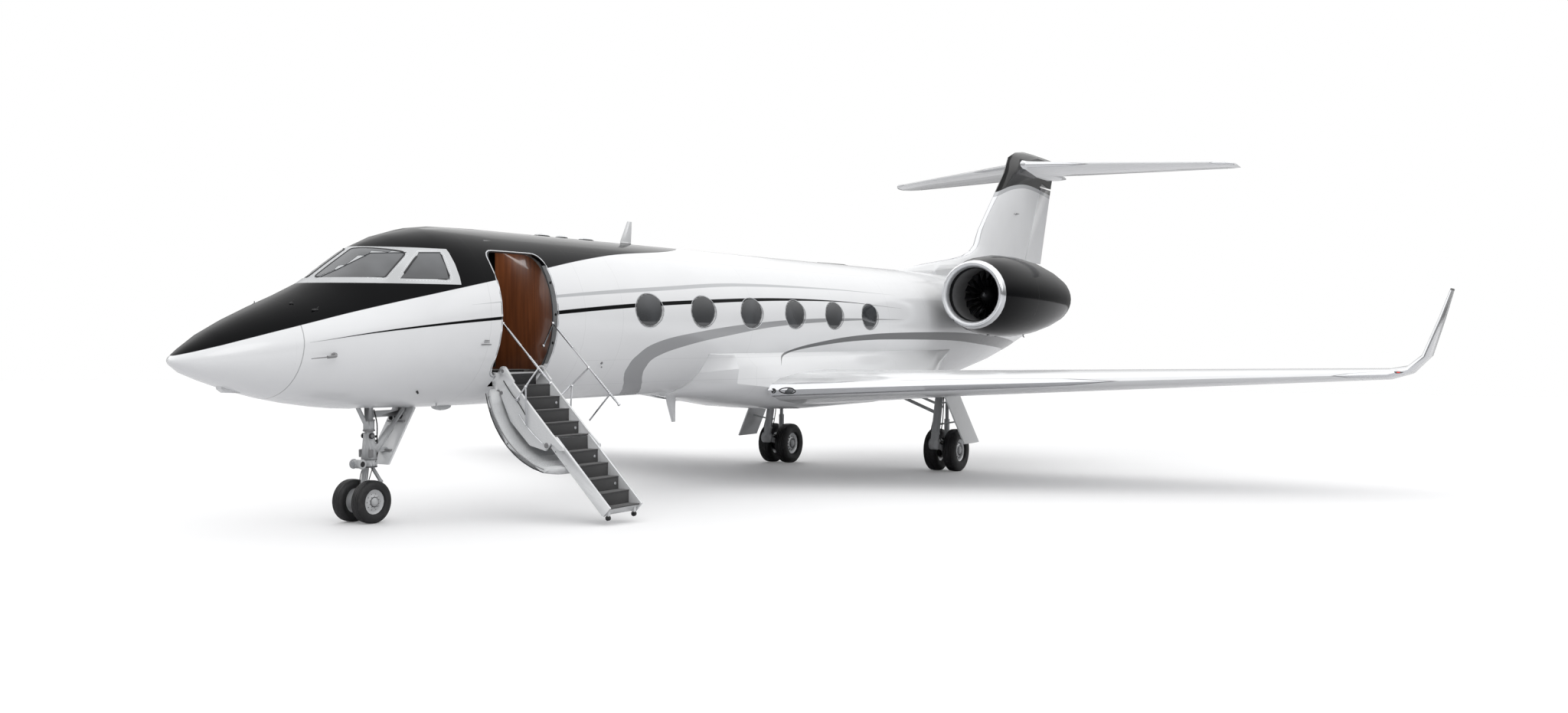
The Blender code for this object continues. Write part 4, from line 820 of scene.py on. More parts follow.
class Shape:
    """One new piece under construction, in the aircraft's own axes."""

    def __init__(self) -> None:
        """Start an empty mesh."""
        self.bm = bmesh.new()

    def box(self, low: Point, high: Point, round_off: float = 0.0, turn: Matrix | None = None) -> "Shape":
        """Add a box, its edges rounded.

        Args:
            low: Lowest corner.
            high: Highest corner.
            round_off: Width of the rounding.
            turn: Rotation about the box's middle.
        """
        low, high = Vector(low), Vector(high)
        size = high - low
        made = bmesh.ops.create_cube(self.bm, size=1.0)["verts"]
        bmesh.ops.scale(self.bm, vec=size, verts=made)
        if round_off > 0.0:
            edges = list({edge for vert in made for edge in vert.link_edges})
            made = bmesh.ops.bevel(
                self.bm, geom=edges, offset=round_off, segments=2, profile=0.5, affect="EDGES", material=-1,
            )["verts"]
            made = _connected(made)
        if turn is not None:
            bmesh.ops.rotate(self.bm, cent=(0, 0, 0), matrix=turn.to_3x3(), verts=made)
        bmesh.ops.translate(self.bm, vec=(low + high) / 2, verts=made)
        return self

    def rod(
        self, start: Point, end: Point, radius: float, end_radius: float | None = None, sides: int = 16,
        round_off: float = 0.0,
    ) -> "Shape":
        """Add a round bar or cone between two points.

        Args:
            start: Middle of the first end.
            end: Middle of the second end.
            radius: Radius at the start.
            end_radius: Radius at the end, the same as radius if None.
            sides: Sides of the bar.
            round_off: Width of the rounding of its end edges.
        """
        start, end = Vector(start), Vector(end)
        way = end - start
        matrix = Matrix.Translation((start + end) / 2) @ way.to_track_quat("Z", "Y").to_matrix().to_4x4()
        made = bmesh.ops.create_cone(
            self.bm, cap_ends=True, segments=sides, radius1=radius,
            radius2=radius if end_radius is None else end_radius, depth=way.length, matrix=matrix,
        )["verts"]
        if round_off > 0.0:
            faces = {face for vert in made for face in vert.link_faces if len(face.verts) > 4}
            edges = list({edge for face in faces for edge in face.edges})
            bmesh.ops.bevel(
                self.bm, geom=edges, offset=round_off, segments=2, profile=0.5, affect="EDGES", material=-1,
            )
        return self

    def ball(self, centre: Point, radii: Point, turn: Matrix | None = None, sides: int = 16) -> "Shape":
        """Add an ellipsoid.

        Args:
            centre: Its middle.
            radii: Half size along each axis.
            turn: Rotation about its middle.
            sides: Sides round it.
        """
        matrix = Matrix.Translation(Vector(centre))
        if turn is not None:
            matrix = matrix @ turn.to_4x4()
        matrix = matrix @ Matrix.Diagonal((*radii, 1.0))
        bmesh.ops.create_uvsphere(self.bm, u_segments=sides, v_segments=max(6, sides // 2), radius=1.0, matrix=matrix)
        return self

    def turned(self, profile: Outline, centre: Point, axis: Point, sides: int = 48) -> "Shape":
        """Add a shape spun from (along, radius) points about an axis.

        Args:
            profile: Points along the axis and out from it.
            centre: Origin of the axis.
            axis: Its direction.
            sides: Steps round it.
        """
        centre, axis = Vector(centre), Vector(axis).normalized()
        out = axis.orthogonal().normalized()
        spun = bmesh.new()
        verts = [spun.verts.new(centre + axis * a + out * r) for a, r in profile]
        for first, second in zip(verts, verts[1:]):
            spun.edges.new((first, second))
        bmesh.ops.spin(
            spun, geom=spun.verts[:] + spun.edges[:], cent=centre, axis=axis, angle=math.tau, steps=sides,
            use_merge=True,
        )
        bmesh.ops.remove_doubles(spun, verts=spun.verts, dist=1e-6)
        bmesh.ops.recalc_face_normals(spun, faces=spun.faces)
        self.take(spun)
        return self

    def plate(self, outline: Sequence[Point], depth: Point, round_off: float = 0.0) -> "Shape":
        """Add a flat plate: an outline in space pushed along a vector.

        Args:
            outline: Corner points.
            depth: Vector of its thickness.
            round_off: Width of the rounding of its edges.
        """
        made = bmesh.new()
        face = made.faces.new([made.verts.new(p) for p in outline])
        grown = bmesh.ops.extrude_face_region(made, geom=[face])["geom"]
        bmesh.ops.translate(made, vec=Vector(depth), verts=[g for g in grown if isinstance(g, bmesh.types.BMVert)])
        bmesh.ops.recalc_face_normals(made, faces=made.faces)
        if round_off > 0.0:
            bmesh.ops.bevel(
                made, geom=made.edges[:], offset=round_off, segments=2, profile=0.5, affect="EDGES", material=-1,
            )
        self.take(made)
        return self

    def hose(self, points: Sequence[Point], radius: float, sides: int = 10, smooth: int = 4) -> "Shape":
        """Add a round tube along points, its corners smoothed.

        Args:
            points: Corners of its route.
            radius: Radius of the tube.
            sides: Sides of the tube.
            smooth: Points put between two corners.
        """
        route = _eased([Vector(p) for p in points], smooth)
        tube = bmesh.new()
        loops = []
        for index, point in enumerate(route):
            ahead = route[min(index + 1, len(route) - 1)] - route[max(index - 1, 0)]
            turn = ahead.to_track_quat("Z", "Y").to_matrix().to_4x4()
            ring = bmesh.ops.create_circle(
                tube, segments=sides, radius=radius, matrix=Matrix.Translation(point) @ turn,
            )["verts"]
            loops.append(list({edge for vert in ring for edge in vert.link_edges}))
        for first, second in zip(loops, loops[1:]):
            bmesh.ops.bridge_loops(tube, edges=first + second)
        bmesh.ops.holes_fill(tube, edges=tube.edges, sides=sides)
        bmesh.ops.recalc_face_normals(tube, faces=tube.faces)
        self.take(tube)
        return self

    def take(self, other: bmesh.types.BMesh) -> None:
        """Move another mesh's contents into this one.

        Args:
            other: Mesh that is used up.
        """
        carrier = bpy.data.meshes.new("carrier")
        other.to_mesh(carrier)
        other.free()
        self.bm.from_mesh(carrier)
        bpy.data.meshes.remove(carrier)

    def finish(
        self, name: str, material: bpy.types.Material, slot: Slot, body: str = "airframe", sharp: float = SHARP_ANGLE,
    ) -> bpy.types.Object:
        """Turn the piece to the parked stance and put it in the scene.

        Args:
            name: Name of the piece.
            material: Its finish.
            slot: Slot of the record that the finish stands for; not used.
            body: Body that it rides on.
            sharp: Angle over which an edge stays sharp.

        Returns:
            The new object.
        """
        self.bm.transform(AIR)
        return _object_of(self.bm, name, material, body, sharp)


def rounded(corners: Outline, radius: float, arc: int = 5, straight: int = 6) -> list[tuple[float, float]]:
    """Return a closed outline with rounded corners.

    Args:
        corners: Its sharp corners in order.
        radius: Radius of the rounding, cut down at short edges.
        arc: Points on each corner.
        straight: Points on each edge between corners.
    """
    points = [Vector(c) for c in corners]
    count = len(points)
    corner_runs = []
    for index, corner in enumerate(points):
        before, after = points[index - 1] - corner, points[(index + 1) % count] - corner
        angle = before.angle(after)
        back = min(radius / math.tan(angle / 2), before.length * 0.45, after.length * 0.45)
        start, end = corner + before.normalized() * back, corner + after.normalized() * back
        run = []
        for step in range(arc + 1):
            t = step / arc
            run.append(start * (1 - t) ** 2 + corner * 2 * t * (1 - t) + end * t * t)
        corner_runs.append(run)
    outline = []
    for index, run in enumerate(corner_runs):
        outline.extend(run)
        following = corner_runs[(index + 1) % count][0]
        outline.extend(run[-1].lerp(following, step / straight) for step in range(1, straight))
    return [tuple(point) for point in outline]


def _connected(verts: Iterable) -> list:
    """Return every vertex joined to the given ones."""
    seen = set(verts)
    queue = list(seen)
    while queue:
        for edge in queue.pop().link_edges:
            for vert in edge.verts:
                if vert not in seen:
                    seen.add(vert)
                    queue.append(vert)
    return list(seen)


def _eased(points: list[Vector], between: int) -> list[Vector]:
    """Return a route with each stretch curved through its corners.

    Args:
        points: Corners of the route.
        between: Points added in each stretch.
    """
    if len(points) < 3 or between == 0:
        return points
    ends = [points[0] * 2 - points[1], *points, points[-1] * 2 - points[-2]]
    route = []
    for a, b, c, d in zip(ends, ends[1:], ends[2:], ends[3:]):
        for step in range(between):
            t = step / between
            route.append(0.5 * (2 * b + (c - a) * t + (2 * a - 5 * b + 4 * c - d) * t * t
                                + (3 * b - a - 3 * c + d) * t * t * t))
    return route + [points[-1]]


def _object_of(
    bm: bmesh.types.BMesh, name: str, material: bpy.types.Material, body: str, sharp: float,
) -> bpy.types.Object:
    """Make an object of a finished mesh, shade it and put it on its body.

    Args:
        bm: Mesh, used up.
        name: Name of the piece.
        material: Its finish.
        body: Body that it rides on.
        sharp: Angle over which an edge stays sharp.

    Returns:
        The new object.
    """
    mesh = bpy.data.meshes.new(name)
    bm.to_mesh(mesh)
    bm.free()
    mesh.materials.append(material)
    mesh.polygons.foreach_set("use_smooth", [True] * len(mesh.polygons))
    mesh.set_sharp_from_angle(angle=sharp)
    piece = bpy.data.objects.new(name, mesh)
    bpy.context.scene.collection.objects.link(piece)
    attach(piece, body)
    LOG.info("%s: %d faces", name, len(mesh.polygons))
    return piece


def dress(node: str, material: bpy.types.Material, sharp: float = SHARP_ANGLE) -> bpy.types.Object:
    """Stand a welded, smoothly shaded copy in for a CAD node.

    Args:
        node: Name of the node.
        material: Its finish.
        sharp: Angle over which an edge stays sharp.

    Returns:
        The copy.
    """
    bm = bmesh.new()
    bm.from_mesh(frame["nodes"][node].data)
    bmesh.ops.remove_doubles(bm, verts=bm.verts, dist=WELD)
    piece = _object_of(bm, f"{node}_skin", material, BODY_OF[node], sharp)
    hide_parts(node)
    return piece


@dataclass(frozen=True)
class HullForm:
    """The fuselage's section at each station, for shading its skins as one smooth form.

    A row holds the station, half width, top, bottom, level of the widest point and the upper half's power.
    """

    rows: tuple[tuple[float, ...], ...] = (
        (0.00, 0.001, -0.543, -0.547, -0.545, 2.00),
        (0.06, 0.03, -0.520, -0.570, -0.545, 2.00),
        (0.11, 0.11, -0.480, -0.606, -0.545, 2.00),
        (0.24, 0.22, -0.390, -0.692, -0.540, 2.00),
        (0.50, 0.39, -0.225, -0.790, -0.525, 2.00),
        (0.83, 0.54, -0.058, -0.900, -0.480, 1.95),
        (1.20, 0.68, 0.103, -0.998, -0.420, 1.90),
        (1.55, 0.78, 0.252, -1.070, -0.340, 1.75),
        (1.90, 0.86, 0.420, -1.123, -0.280, 1.65),
        (2.20, 0.93, 0.625, -1.157, -0.230, 1.58),
        (2.55, 1.00, 0.852, -1.178, -0.180, 1.60),
        (2.95, 1.065, 1.015, -1.189, -0.120, 1.80),
        (3.40, 1.13, 1.135, -1.198, -0.060, 1.95),
        (3.80, 1.17, 1.185, -1.205, -0.020, 2.00),
        (4.40, 1.195, 1.200, -1.210, -0.005, 2.00),
        (14.90, 1.195, 1.200, -1.210, -0.005, 2.00),
        (18.40, 1.195, 1.200, -1.210, -0.005, 2.00),
        (20.00, 1.130, 1.180, -1.130, 0.025, 2.00),
        (21.50, 1.010, 1.130, -0.900, 0.115, 2.00),
        (23.00, 0.850, 1.110, -0.600, 0.255, 2.00),
        (24.50, 0.650, 1.080, -0.250, 0.415, 2.00),
        (26.00, 0.420, 1.020, 0.160, 0.590, 2.00),
        (27.10, 0.200, 0.940, 0.520, 0.730, 2.00),
        (27.30, 0.150, 0.925, 0.560, 0.750, 2.00),
    )

    def section(self, station: float) -> list[float]:
        """Return the section's five measures at a station, curved smoothly between the rows."""
        rows = self.rows
        station = min(max(station, rows[0][0]), rows[-1][0] - 1e-6)
        index = max(i for i, row in enumerate(rows[:-1]) if row[0] <= station)
        first, last = rows[index], rows[index + 1]
        long = last[0] - first[0]
        share = (station - first[0]) / long
        before = rows[index - 1] if index > 0 else first
        after = rows[index + 2] if index + 2 < len(rows) else last
        measures = []
        for k in range(1, 6):
            middle = (last[k] - first[k]) / long
            left = (first[k] - before[k]) / (first[0] - before[0]) if before is not first else middle
            right = (after[k] - last[k]) / (after[0] - last[0]) if after is not last else middle
            in_slope = 0.0 if left * middle <= 0 else 2 * left * middle / (left + middle)
            out_slope = 0.0 if right * middle <= 0 else 2 * right * middle / (right + middle)
            s2, s3 = share * share, share ** 3
            measures.append(
                (2 * s3 - 3 * s2 + 1) * first[k] + (s3 - 2 * s2 + share) * long * in_slope
                + (3 * s2 - 2 * s3) * last[k] + (s3 - s2) * long * out_slope
            )
        return measures

    def depth(self, point: Point) -> float:
        """Return how far inside (below 0) or outside a point lies, as a share of the section."""
        half, top, bottom, level, power = self.section(point[0])
        rise = point[2] - level
        if rise < 0:
            return (abs(point[1]) / half) ** 2 + (rise / (level - bottom)) ** 2 - 1.0
        return (abs(point[1]) / half) ** power + (rise / (top - level)) ** power - 1.0

    def reach(self, station: float, level: float) -> float:
        """Return how far out to the side the skin lies at a station and level."""
        half, top, bottom, middle, power = self.section(station)
        share = (level - middle) / ((top - middle) if level > middle else (middle - bottom))
        power = power if level > middle else 2.0
        return half * max(0.0, 1.0 - min(1.0, abs(share)) ** power) ** (1.0 / power)

    def outward(self, point: Point) -> Vector:
        """Return the skin's outward direction at a point on it."""
        step = 0.004
        slope = []
        for axis in range(3):
            low, high = list(point), list(point)
            low[axis] -= step
            high[axis] += step
            slope.append(self.depth(high) - self.depth(low))
        return Vector(slope).normalized()

    def shade(self, piece: bpy.types.Object, near: float = 0.05) -> None:
        """Give a skin the form's own directions wherever it lies on the form.

        Args:
            piece: Piece made from a skin's CAD node.
            near: How far off the form, as a share of the section, still counts.
        """
        mesh = piece.data
        back, turn = AIR.inverted(), AIR.to_3x3()
        places = [back @ vert.co for vert in mesh.vertices]
        ways = [turn @ self.outward(p) if abs(self.depth(p)) < near else None for p in places]
        normals = [Vector(corner.vector) for corner in mesh.corner_normals]
        for face in mesh.polygons:
            for corner in face.loop_indices:
                way = ways[mesh.loops[corner].vertex_index]
                if way is not None and way.dot(face.normal) > 0.86:
                    normals[corner] = way
        mesh.normals_split_custom_set(normals)


class Surface:
    """The outside of CAD nodes, for placing fittings on it."""

    def __init__(self, *nodes: str) -> None:
        """Gather the nodes' faces.

        Args:
            nodes: Names of the nodes.
        """
        bm = bmesh.new()
        for node in nodes:
            bm.from_mesh(frame["nodes"][node].data)
        self.tree = BVHTree.FromBMesh(bm)
        bm.free()
        self.back = AIR.inverted()

    def at(self, start: Point, way: Point) -> tuple[Vector, Vector]:
        """Return the first point met from start along way, and the way out of the surface there.

        Args:
            start: Start in the aircraft's axes.
            way: Direction in the aircraft's axes.
        """
        turn = AIR.to_3x3()
        hit, normal, _, _ = self.tree.ray_cast(AIR @ Vector(start), turn @ Vector(way).normalized())
        if hit is None:
            raise ValueError(f"no surface from {tuple(start)} along {tuple(way)}")
        out = (turn.transposed() @ normal).normalized()
        if out.dot(Vector(way)) > 0:
            out = -out
        return self.back @ hit, out

    def onto(self, point: Point) -> tuple[Vector, Vector]:
        """Return the nearest skin point along the hull's outward direction at a point near it."""
        out = HullForm().outward(point)
        return self.at(Vector(point) + out * 0.25, -out)

    def beside(self, station: float, level: float, side: Side) -> tuple[Vector, Vector]:
        """Return the point and outward direction of the hull's flank.

        Args:
            station: Station of the point.
            level: Level of the point.
            side: Side of the hull.
        """
        out = side.value * HullForm().reach(station, level)
        start = (station, out + side.value * 0.20, level)
        hit = self.tree.ray_cast(AIR @ Vector(start), AIR.to_3x3() @ Vector((0.0, -side.value, 0.0)), 0.26)[0]
        point = Vector((station, out, level)) if hit is None else self.back @ hit
        return point, HullForm().outward((station, out, level))


def studio(finishes: Finishes) -> None:
    """Make the floor, the world and the lamps.

    Args:
        finishes: The scene's finishes; not used.
    """
    graph = Graph("studio_floor")
    cloud = graph.noise(0.15, 2.0)
    seen = graph.nodes.new("ShaderNodeLightPath").outputs["Is Camera Ray"]
    pale = graph.mix(graph.remap(cloud, 0.3, 0.7), (0.80, 0.80, 0.805), (0.82, 0.82, 0.825))
    tint = graph.mix(seen, (0.58, 0.58, 0.59), pale)
    floor_finish = graph.surface(
        Base_Color=tint, Roughness=0.60, Emission_Color=(1.0, 1.0, 1.0),
        Emission_Strength=graph.math("MULTIPLY", seen, 0.10),
    )
    bm = bmesh.new()
    bmesh.ops.create_grid(bm, x_segments=2, y_segments=2, size=160.0)
    mesh = bpy.data.meshes.new("floor")
    bm.to_mesh(mesh)
    bm.free()
    mesh.materials.append(floor_finish)
    floor = bpy.data.objects.new("floor", mesh)
    bpy.context.scene.collection.objects.link(floor)

    world = bpy.data.worlds.new("studio")
    world.use_nodes = True
    nodes, links = world.node_tree.nodes, world.node_tree.links
    nodes.clear()
    way = nodes.new("ShaderNodeTexCoord")
    split = nodes.new("ShaderNodeSeparateXYZ")
    height = nodes.new("ShaderNodeMapRange")
    height.interpolation_type = "SMOOTHSTEP"
    for name, number in (("From Min", 0.02), ("From Max", 0.60), ("To Min", 0.20), ("To Max", 1.34)):
        height.inputs[name].default_value = number
    seen, sky, joined = nodes.new("ShaderNodeBackground"), nodes.new("ShaderNodeBackground"), nodes.new("ShaderNodeMixShader")
    seen.inputs["Color"].default_value = sky.inputs["Color"].default_value = (1.0, 1.0, 1.0, 1.0)
    output = nodes.new("ShaderNodeOutputWorld")
    links.new(way.outputs["Generated"], split.inputs[0])
    links.new(split.outputs["Z"], height.inputs["Value"])
    links.new(height.outputs["Result"], sky.inputs["Strength"])
    links.new(nodes.new("ShaderNodeLightPath").outputs["Is Camera Ray"], joined.inputs["Fac"])
    links.new(sky.outputs[0], joined.inputs[1])
    links.new(seen.outputs[0], joined.inputs[2])
    links.new(joined.outputs[0], output.inputs["Surface"])
    bpy.context.scene.world = world

    for name, place, aim, size, power in (
        ("key", (-20.0, -16.0, 13.0), (-4.0, 0.0, 2.0), 10.0, 420.0),
        ("fill", (4.0, -22.0, 12.0), (2.0, 0.0, 2.0), 12.0, 260.0),
        ("rim", (12.0, 14.0, 14.0), (0.0, 0.0, 3.0), 14.0, 260.0),
    ):
        lamp = bpy.data.lights.new(name, "AREA")
        lamp.shape = "DISK"
        lamp.size = size
        lamp.energy = power
        holder = bpy.data.objects.new(name, lamp)
        way = Vector(aim) - Vector(place)
        holder.matrix_world = Matrix.Translation(place) @ way.to_track_quat("-Z", "Y").to_matrix().to_4x4()
        bpy.context.scene.collection.objects.link(holder)
    bpy.context.scene.view_settings.view_transform = "Standard"


def camera() -> None:
    """Make the camera at the photograph's place, with its heading, pitch and roll."""
    place = Vector((-22.857, -13.300, 1.925))
    heading, pitch, roll = 0.5535, 0.0130, 0.0104
    ahead = Vector((
        math.cos(pitch) * math.cos(heading), math.cos(pitch) * math.sin(heading), math.sin(pitch),
    ))
    right = ahead.cross(Vector((0.0, 0.0, 1.0))).normalized()
    above = right.cross(ahead)
    tilted = math.cos(roll) * right + math.sin(roll) * above
    above = tilted.cross(ahead)
    lens = bpy.data.cameras.new("camera")
    lens.lens = 30.49
    lens.sensor_width = 36.0
    lens.clip_end = 500.0
    holder = bpy.data.objects.new("camera", lens)
    holder.matrix_world = Matrix.Translation(place) @ Matrix((tilted, above, -ahead)).transposed().to_4x4()
    bpy.context.scene.collection.objects.link(holder)
    bpy.context.scene.camera = holder


@dataclass
class Hull:
    """Radome, nose, cabin and tail skins with the glazing and what stands on them."""

    finishes: Finishes
    skins: tuple[str, ...] = ("radome", "nose_shell", "cabin_shell", "aft_fuselage", "belly_fairing")
    first_window: float = 7.10
    window_pitch: float = 1.397
    window_count: int = 6
    window_level: float = 0.114
    window_long: float = 0.66
    window_high: float = 0.48
    post: float = 0.055
    panes: dict = field(default_factory=lambda: {
        "front": ((1.95, 0.435), (2.50, 0.440), (2.93, 0.775), (2.58, 0.760)),
        "side": ((2.66, 0.430), (3.27, 0.435), (3.33, 0.790), (3.07, 0.780)),
    })

    def build(self) -> None:
        """Build and dress the hull's pieces."""
        self.surface = Surface("radome", "nose_shell", "windscreen_frame", "cabin_shell", "aft_fuselage")
        self.dress_skins()
        for side in Side:
            self.window_rims(side)
            self.screen_gaskets(side)
        self.rivets()
        self.nose_fittings()
        self.lamps()
        self.doorway()

    def dress_skins(self) -> None:
        """Put the livery and the glass on the hull's CAD nodes."""
        form = HullForm()
        for node in self.skins:
            skin = dress(node, self.finishes.livery, math.radians(24.0))
            if node != "belly_fairing":
                form.shade(skin)
        form.shade(dress("windscreen_frame", self.finishes.frame, math.radians(30.0)))
        for side in Side:
            for pane in self.panes:
                form.shade(dress(f"pane_{pane}_{side.label}", self.finishes.screen))
            form.shade(dress(f"window_strip_{side.label}", self.finishes.glass))

    def band_on_hull(self, shape: Shape, outline: Sequence[tuple[float, float]], side: Side, radius: float,
                     sink: float = 0.0) -> None:
        """Lay a tube along a closed outline on the hull's flank.

        Args:
            shape: Shape that takes it.
            outline: (station, level) corners.
            side: Side of the hull.
            radius: Radius of the tube.
            sink: How far its middle lies under the surface.
        """
        route = []
        for station, level in outline:
            point, out = self.surface.beside(station, level, side)
            route.append(point - out * sink)
        shape.hose([*route, route[0]], radius, 8, 0)

    def window_rims(self, side: Side) -> None:
        """Add the grey ring and the dark gasket round each cabin window.

        Args:
            side: Side of the hull.
        """
        rims, gaskets = Shape(), Shape()
        for index in range(self.window_count):
            middle = self.first_window + index * self.window_pitch
            for shape, grow, radius, sink in ((rims, 0.020, 0.009, 0.006), (gaskets, 0.006, 0.006, 0.003)):
                outline = []
                for step in range(40):
                    turn = math.tau * step / 40
                    outline.append((
                        middle + (self.window_long / 2 + grow) * math.cos(turn),
                        self.window_level + (self.window_high / 2 + grow) * math.sin(turn),
                    ))
                self.band_on_hull(shape, outline, side, radius, sink)
        rims.finish(f"window_rims_{side.label}", self.finishes.metal, Slot.METAL)
        gaskets.finish(f"window_gaskets_{side.label}", self.finishes.seal, Slot.TYRE)

    def pane_corners(self, name: str, side: Side, grow: float = 0.0) -> list[Vector]:
        """Return a pane's corners on the skin.

        Args:
            name: Name of the pane.
            side: Side of the hull.
            grow: How far outside the pane they lie.
        """
        corners = []
        for station, level in self.panes[name]:
            corners.append(self.surface.beside(station, level, side)[0])
        if name == "front":
            low, high = (self.surface.at((x, side.value * self.post, 3.0), (0, 0, -1))[0] for x in (1.915, 2.500))
            corners[0], corners[3] = low, high
        ring = []
        for index, corner in enumerate(corners):
            before = (corners[index - 1] - corner).normalized()
            after = (corners[(index + 1) % 4] - corner).normalized()
            ring.append(corner - (before + after) * grow / max(0.3, before.cross(after).length))
        return ring

    def pane_route(self, name: str, side: Side, grow: float, radius: float, straight: int = 7) -> list:
        """Return (point, way out) pairs along a pane's rounded edge on the skin.

        Args:
            name: Name of the pane.
            side: Side of the hull.
            grow: How far outside the pane they lie.
            radius: Radius of its corners.
            straight: Points on each edge between its corners.
        """
        corners = self.pane_corners(name, side, grow)
        return [self.surface.onto(point) for point in rounded(corners, radius, 4, straight)]

    def screen_gaskets(self, side: Side) -> None:
        """Add the dark glass face of each windscreen pane and the black gasket round it.

        Args:
            side: Side of the hull.
        """
        gasket = Shape()
        for name in self.panes:
            route = [point - out * 0.002 for point, out in self.pane_route(name, side, 0.0, 0.055)]
            gasket.hose([*route, route[0]], 0.012, 8, 0)
            face = Shape()
            corners = self.pane_corners(name, side, 0.0)
            outline = rounded(corners, 0.055, 4, 7)
            middle = sum((Vector(c) for c in corners), Vector((0, 0, 0))) / 4
            rings = []
            for share in (1.0, 0.8, 0.6, 0.4, 0.2):
                verts = []
                for point in outline:
                    place, out = self.surface.onto(middle.lerp(Vector(point), share))
                    verts.append(face.bm.verts.new(place + out * (0.0035 if name == "front" else 0.001)))
                rings.append([face.bm.edges.new((a, b)) for a, b in zip(verts, verts[1:] + verts[:1])])
            for first, second in zip(rings, rings[1:]):
                bmesh.ops.bridge_loops(face.bm, edges=first + second)
            bmesh.ops.holes_fill(face.bm, edges=rings[-1], sides=len(outline))
            bmesh.ops.recalc_face_normals(face.bm, faces=face.bm.faces)
            face.finish(f"screen_{name}_{side.label}", self.finishes.screen, Slot.GLASS, sharp=math.radians(60.0))
        gasket.finish(f"windscreen_gaskets_{side.label}", self.finishes.seal, Slot.TYRE)

    def rivets(self) -> None:
        """Add the rivet rows round the windscreen panes."""
        shape = Shape()
        for side in Side:
            for name in self.panes:
                for point, out in self.pane_route(name, side, 0.034, 0.07, 13):
                    turn = out.to_track_quat("Z", "Y").to_matrix()
                    shape.ball(point, (0.0055, 0.0055, 0.0020), turn, 6)
        shape.finish("windscreen_rivets", self.finishes.polished, Slot.METAL)

    def nose_fittings(self) -> None:
        """Add the pitot masts, vanes, drain and step ledges of the nose."""
        masts, dark, ledges = Shape(), Shape(), Shape()
        for side in Side:
            foot, out = self.surface.beside(1.64, -0.49, side)
            knee = foot + out * 0.075
            masts.hose([foot - out * 0.02, foot + out * 0.03, knee + Vector((-0.03, 0, -0.003)),
                        knee + Vector((-0.14, 0, -0.012))], 0.017, 12, 5)
            masts.rod(knee + Vector((-0.12, 0, -0.010)), knee + Vector((-0.36, 0, -0.026)), 0.008, 0.005, 12)
            masts.ball(foot + out * 0.004, (0.045, 0.012, 0.026))
            for station, level, long in ((1.40, 0.107, 0.030), (1.56, 0.030, 0.060)):
                foot, out = self.surface.beside(station, level, side)
                dark.ball(foot, (long, 0.012, 0.013))
                dark.rod(foot, foot + out * 0.045 + Vector((0.03, 0, 0)), 0.008, 0.004, 10)
            foot, out = self.surface.beside(3.01, -0.965, side)
            dark.rod(foot - out * 0.01, foot + out * 0.035, 0.016, 0.013, 14)
            for rise, long in ((0.0, 0.085), (0.032, 0.045), (0.054, 0.040)):
                foot, _ = self.surface.beside(3.76, -0.385 + rise, side)
                grow = side.value * 0.012
                low = (foot.x - long, min(foot.y, foot.y + grow), foot.z - 0.004)
                high = (foot.x + long, max(foot.y, foot.y + grow), foot.z + 0.004)
                (dark if rise == 0.0 else ledges).box(low, high, 0.0015)
            foot, out = self.surface.beside(6.19, -0.659, side)
            ledges.rod(foot - out * 0.004, foot + out * 0.012, 0.022, 0.018, 16)
            ledges.rod(foot + Vector((0, 0, -0.06)) - out * 0.004, foot + Vector((0, 0, -0.06)) + out * 0.006, 0.012)
        masts.finish("pitot_masts", self.finishes.disc, Slot.METAL)
        dark.finish("angle_vanes", self.finishes.seal, Slot.METAL)
        ledges.finish("static_plates", self.finishes.disc, Slot.METAL)

    def lamps(self) -> None:
        """Add the belly dome and the drain masts."""
        shape = Shape()
        point, _ = self.surface.at((4.04, 0.0, -3.0), (0, 0, 1))
        shape.ball(point, (0.15, 0.11, 0.058), None, 28)
        shape.finish("belly_dome", self.finishes.hub, Slot.WHITE)
        masts = Shape()
        for station, side_way in ((3.62, -0.35), (6.20, -0.20)):
            point, out = self.surface.at((station, side_way, -3.0), (0, 0, 1))
            masts.hose([point - out * 0.01, point + out * 0.05, point + out * 0.09 + Vector((0.06, 0, 0))], 0.009)
        masts.finish("drain_masts", self.finishes.gear, Slot.METAL)

    def doorway(self) -> None:
        """Add the metal rim and jamb of the doorway, its seal and its latches."""
        rim, jamb, seal, latches = Shape(), Shape(), Shape(), Shape()
        outline = rounded(((4.00, -0.80), (5.04, -0.80), (5.04, 0.84), (4.00, 0.84)), 0.16, 6, 10)
        around = rounded(((3.985, -0.815), (5.055, -0.815), (5.055, 0.855), (3.985, 0.855)), 0.175, 6, 10)
        self.band_on_hull(rim, around, Side.PORT, 0.013, 0.009)
        form, loops, inner_route = HullForm(), [], []
        for depth in (0.006, 0.092):
            verts = []
            for station, level in outline:
                near = Vector((4.52 + (station - 4.52) * 0.998, 0.02 + (level - 0.02) * 0.998))
                place = Vector((near.x, -form.reach(near.x, near.y), near.y))
                inner = place - form.outward(place) * depth
                verts.append(jamb.bm.verts.new((near.x, inner.y, near.y)))
            loops.append([jamb.bm.edges.new((a, b)) for a, b in zip(verts, verts[1:] + verts[:1])])
            inner_route = [vert.co.copy() for vert in verts]
        bmesh.ops.bridge_loops(jamb.bm, edges=loops[0] + loops[1])
        bmesh.ops.recalc_face_normals(jamb.bm, faces=jamb.bm.faces)
        seal.hose([*inner_route, inner_route[0]], 0.008, 8, 0)
        for level in (0.47, 0.02, -0.38):
            for station, way in ((5.0395, -1.0), (4.0005, 1.0)):
                place = Vector((station, -form.reach(station, level), level))
                place = place - form.outward(place) * 0.040
                latches.rod(place, place + Vector((way * 0.0025, 0, 0)), 0.020, 0.019, 16)
